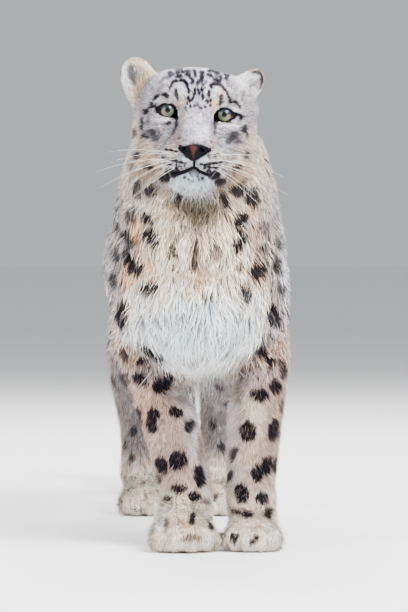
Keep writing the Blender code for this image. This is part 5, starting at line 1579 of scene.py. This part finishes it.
class LEOPARD_OT_nose(bpy.types.Operator):
    """Makes the nose leather over the solid nose, finer, with its nostrils"""

    bl_idname = "leopard.nose"
    bl_label = "Nose"

    def execute(self, context):
        settings = context.scene.leopard_face
        bm = bmesh.new()
        bm.from_mesh(NODES["nose"].data)
        bmesh.ops.remove_doubles(bm, verts=bm.verts, dist=1e-5)
        mesh = bpy.data.meshes.new("nose_leather")
        bm.to_mesh(mesh)
        bm.free()
        obj = object_of("nose_leather", mesh)
        remesh = obj.modifiers.new("Remesh", "REMESH")
        remesh.mode = "VOXEL"
        remesh.voxel_size = 0.0007
        smooth = obj.modifiers.new("Smooth", "SMOOTH")
        smooth.factor = 0.5
        smooth.iterations = 6
        obj.data = evaluated(obj)
        obj.modifiers.clear()
        top = max(v.co.z for v in obj.data.vertices)
        for v in obj.data.vertices:
            v.co.y += 0.0125 * float(soft(v.co.z, top - 0.0080, top - 0.0010))
        obj.data.shade_smooth()
        middle = HEAD @ Vector((0, -0.06, -0.047))
        obj.data.materials.clear()
        obj.data.materials.append(
            leather_material(
                "nose", settings.nose_pink, settings.nose_dark, middle, 0.0054, 0.42
            )
        )
        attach(obj, "root")
        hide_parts("nose")
        return {"FINISHED"}


def tube(bm, places, radii, sides=8):
    """Adds a closed tapered tube through the places to a bmesh."""
    ways = [(b - a).normalized() for a, b in zip(places, places[1:])]
    ways = [ways[0]] + [(a + b).normalized() for a, b in zip(ways, ways[1:])] + [ways[-1]]
    side = ways[0].orthogonal().normalized()
    rings = []
    for place, way, radius in zip(places, ways, radii):
        side = (side - way * side.dot(way)).normalized()
        up = way.cross(side)
        ring = []
        for k in range(sides):
            turn = 2 * math.pi * k / sides
            reach = side * math.cos(turn) + up * math.sin(turn)
            ring.append(bm.verts.new(place + reach * radius))
        rings.append(ring)
    for a, b in zip(rings, rings[1:]):
        for k in range(sides):
            n = (k + 1) % sides
            bm.faces.new((a[k], a[n], b[n], b[k]))
    bm.faces.new(list(reversed(rings[0])))
    bm.faces.new(rings[-1])


class LEOPARD_OT_lips(bpy.types.Operator):
    """Lays the black lips and the groove under the nose on the muzzle"""

    bl_idname = "leopard.lips"
    bl_label = "Lips"

    def execute(self, context):
        settings = context.scene.leopard_face
        tree = STATE["coat"].tree
        bm = bmesh.new()
        across = np.linspace(MOUTH_LINE[0][0], MOUTH_LINE[0][-1], 41)
        down = np.interp(across, *MOUTH_LINE)
        radii = 0.0019 + 0.0012 * np.abs(across - 194) / 18
        radii[[0, -1]] *= 0.4
        self.line(bm, tree, across, down, radii)
        self.line(bm, tree, np.full(7, 194.3), np.linspace(159.5, 167.6, 7), np.full(7, 0.0016))
        bmesh.ops.recalc_face_normals(bm, faces=bm.faces)
        mesh = bpy.data.meshes.new("lips")
        bm.to_mesh(mesh)
        bm.free()
        mesh.shade_smooth()
        obj = object_of("lips", mesh)
        obj.data.materials.append(
            leather_material(
                "lip", settings.nose_dark, settings.nose_dark, HEAD.translation, 0.01, 0.36
            )
        )
        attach(obj, "root")
        return {"FINISHED"}

    def line(self, bm, tree, across, down, radii):
        """A tube on the skin along a line that is seen from the front."""
        places = []
        for a, d in zip(across, down):
            start = from_photo(a, d, -0.5)
            way = (start - (CAMERA_PLACE + SHIFT)).normalized()
            hit, _, _, _ = tree.ray_cast(start, way)
            places.append(hit - way * 0.0014)
        tube(bm, places, radii)


class LEOPARD_OT_whiskers(bpy.types.Operator):
    """Sets the long white whiskers in their rows on the muzzle"""

    bl_idname = "leopard.whiskers"
    bl_label = "Whiskers"

    def execute(self, context):
        settings = context.scene.leopard_coat
        draw = np.random.default_rng(SEED + 40)
        tree = STATE["coat"].tree
        bm = bmesh.new()
        rows = ((154.5, 0.12, 3), (159.5, 0.0, 4), (163.5, -0.14, 4), (167.5, -0.30, 2))
        for side in (-1, 1):
            for height, rise, count in rows:
                for k in range(count):
                    off = 17.0 + 4.4 * k + draw.uniform(-0.8, 0.8)
                    spot = (194.5 + side * off, height + side * 0.8 + draw.uniform(-0.7, 0.7))
                    reach = settings.whisker_reach * draw.uniform(0.6, 1.08)
                    self.whisker(bm, tree, spot, side, rise + draw.uniform(-0.1, 0.1), reach, settings)
        bmesh.ops.recalc_face_normals(bm, faces=bm.faces)
        mesh = bpy.data.meshes.new("whiskers")
        bm.to_mesh(mesh)
        bm.free()
        mesh.shade_smooth()
        obj = object_of("whiskers", mesh)
        finish = Finish("whisker", Roughness=0.35)
        finish.shader.inputs["Base Color"].default_value = (*linear(238, 236, 232), 1)
        obj.data.materials.append(finish.material)
        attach(obj, "root")
        return {"FINISHED"}

    def whisker(self, bm, tree, spot, side, rise, reach, settings):
        """One whisker that leaves the muzzle sideways and bends down and back."""
        start = from_photo(*spot, -0.5)
        way = (start - (CAMERA_PLACE + SHIFT)).normalized()
        hit, normal, _, _ = tree.ray_cast(start, way)
        if hit is None:
            return
        out = (Vector((side, -0.15, rise)) + normal * 0.35).normalized()
        places, radii = [], []
        for t in np.linspace(0, 1, 9):
            bend = Vector((0, 0.22, -0.20)) * (reach * t * t)
            places.append(hit - normal * 0.001 + out * (reach * t) + bend)
            radii.append(settings.whisker_radius * (1 - 0.72 * t))
        tube(bm, places, radii, 4)


class LEOPARD_OT_stage(bpy.types.Operator):
    """Sets the pale floor, the soft lights and the photograph's camera"""

    bl_idname = "leopard.stage"
    bl_label = "Stage"

    def execute(self, context):
        settings = context.scene.leopard_stage
        bpy.ops.object.select_all(action="DESELECT")
        bpy.ops.mesh.primitive_plane_add(size=160, location=(0, 0, 0))
        floor = bpy.context.object
        floor.name = "floor"
        floor.data.materials.append(floor_material(settings))
        self.light("key", (2.0, -2.9, 3.2), 1.9, settings.key)
        self.light("fill", (-2.6, -2.9, 1.9), 2.4, settings.fill)
        self.light("top", (-0.3, 2.3, 3.6), 3.0, settings.fill * 2.2)
        world = bpy.data.worlds.new("studio")
        world.use_nodes = True
        background = world.node_tree.nodes["Background"]
        background.inputs[0].default_value = (*linear(226, 228, 232), 1)
        background.inputs[1].default_value = settings.sky
        context.scene.world = world
        camera = bpy.data.cameras.new("camera")
        camera.sensor_width = SENSOR
        camera.sensor_fit = "AUTO"
        camera.lens = FOCAL_PIXELS / PHOTO_HIGH * SENSOR
        camera.clip_end = 400
        obj = bpy.data.objects.new("camera", camera)
        context.scene.collection.objects.link(obj)
        obj.location = CAMERA_PLACE + SHIFT
        obj.rotation_mode = "QUATERNION"
        obj.rotation_quaternion = (CAMERA_AIM - CAMERA_PLACE).to_track_quat("-Z", "Y")
        context.scene.camera = obj
        return {"FINISHED"}

    def light(self, name, place, width, power):
        """One square soft light that looks at the animal."""
        data = bpy.data.lights.new(name, "AREA")
        data.shape = "SQUARE"
        data.size = width
        data.energy = power
        obj = bpy.data.objects.new(name, data)
        bpy.context.scene.collection.objects.link(obj)
        obj.location = place
        aim = Vector((0, -0.3, 0.4)) - Vector(place)
        obj.rotation_mode = "QUATERNION"
        obj.rotation_quaternion = aim.to_track_quat("-Z", "Y")


class LEOPARD_PT_panel(bpy.types.Panel):
    """Lists the pieces and their settings in the sidebar"""

    bl_idname = "LEOPARD_PT_panel"
    bl_label = "Snow leopard"
    bl_space_type = "VIEW_3D"
    bl_region_type = "UI"
    bl_category = "Snow leopard"

    def draw(self, context):
        for operator in OPERATORS:
            self.layout.operator(operator.bl_idname)
        for name in ("leopard_coat", "leopard_face", "leopard_stage"):
            group = getattr(context.scene, name)
            for prop in group.__annotations__:
                self.layout.prop(group, prop)


OPERATORS = (
    LEOPARD_OT_skin,
    LEOPARD_OT_coat,
    LEOPARD_OT_eyes,
    LEOPARD_OT_nose,
    LEOPARD_OT_lips,
    LEOPARD_OT_whiskers,
    LEOPARD_OT_stage,
)
GROUPS = (CoatSettings, FaceSettings, StageSettings)


def register():
    """Registers the classes and the scene's settings."""
    for cls in (*GROUPS, *OPERATORS, LEOPARD_PT_panel):
        bpy.utils.register_class(cls)
    bpy.types.Scene.leopard_coat = bpy.props.PointerProperty(type=CoatSettings)
    bpy.types.Scene.leopard_face = bpy.props.PointerProperty(type=FaceSettings)
    bpy.types.Scene.leopard_stage = bpy.props.PointerProperty(type=StageSettings)


def unregister():
    """Takes away what register added."""
    for name in ("leopard_coat", "leopard_face", "leopard_stage"):
        delattr(bpy.types.Scene, name)
    for cls in (LEOPARD_PT_panel, *reversed(OPERATORS), *reversed(GROUPS)):
        bpy.utils.unregister_class(cls)


def main():
    """Makes every piece."""
    register()
    bpy.ops.leopard.skin()
    bpy.ops.leopard.coat()
    bpy.ops.leopard.eyes()
    bpy.ops.leopard.nose()
    bpy.ops.leopard.lips()
    bpy.ops.leopard.whiskers()
    bpy.ops.leopard.stage()


if __name__ == "__main__":
    main()
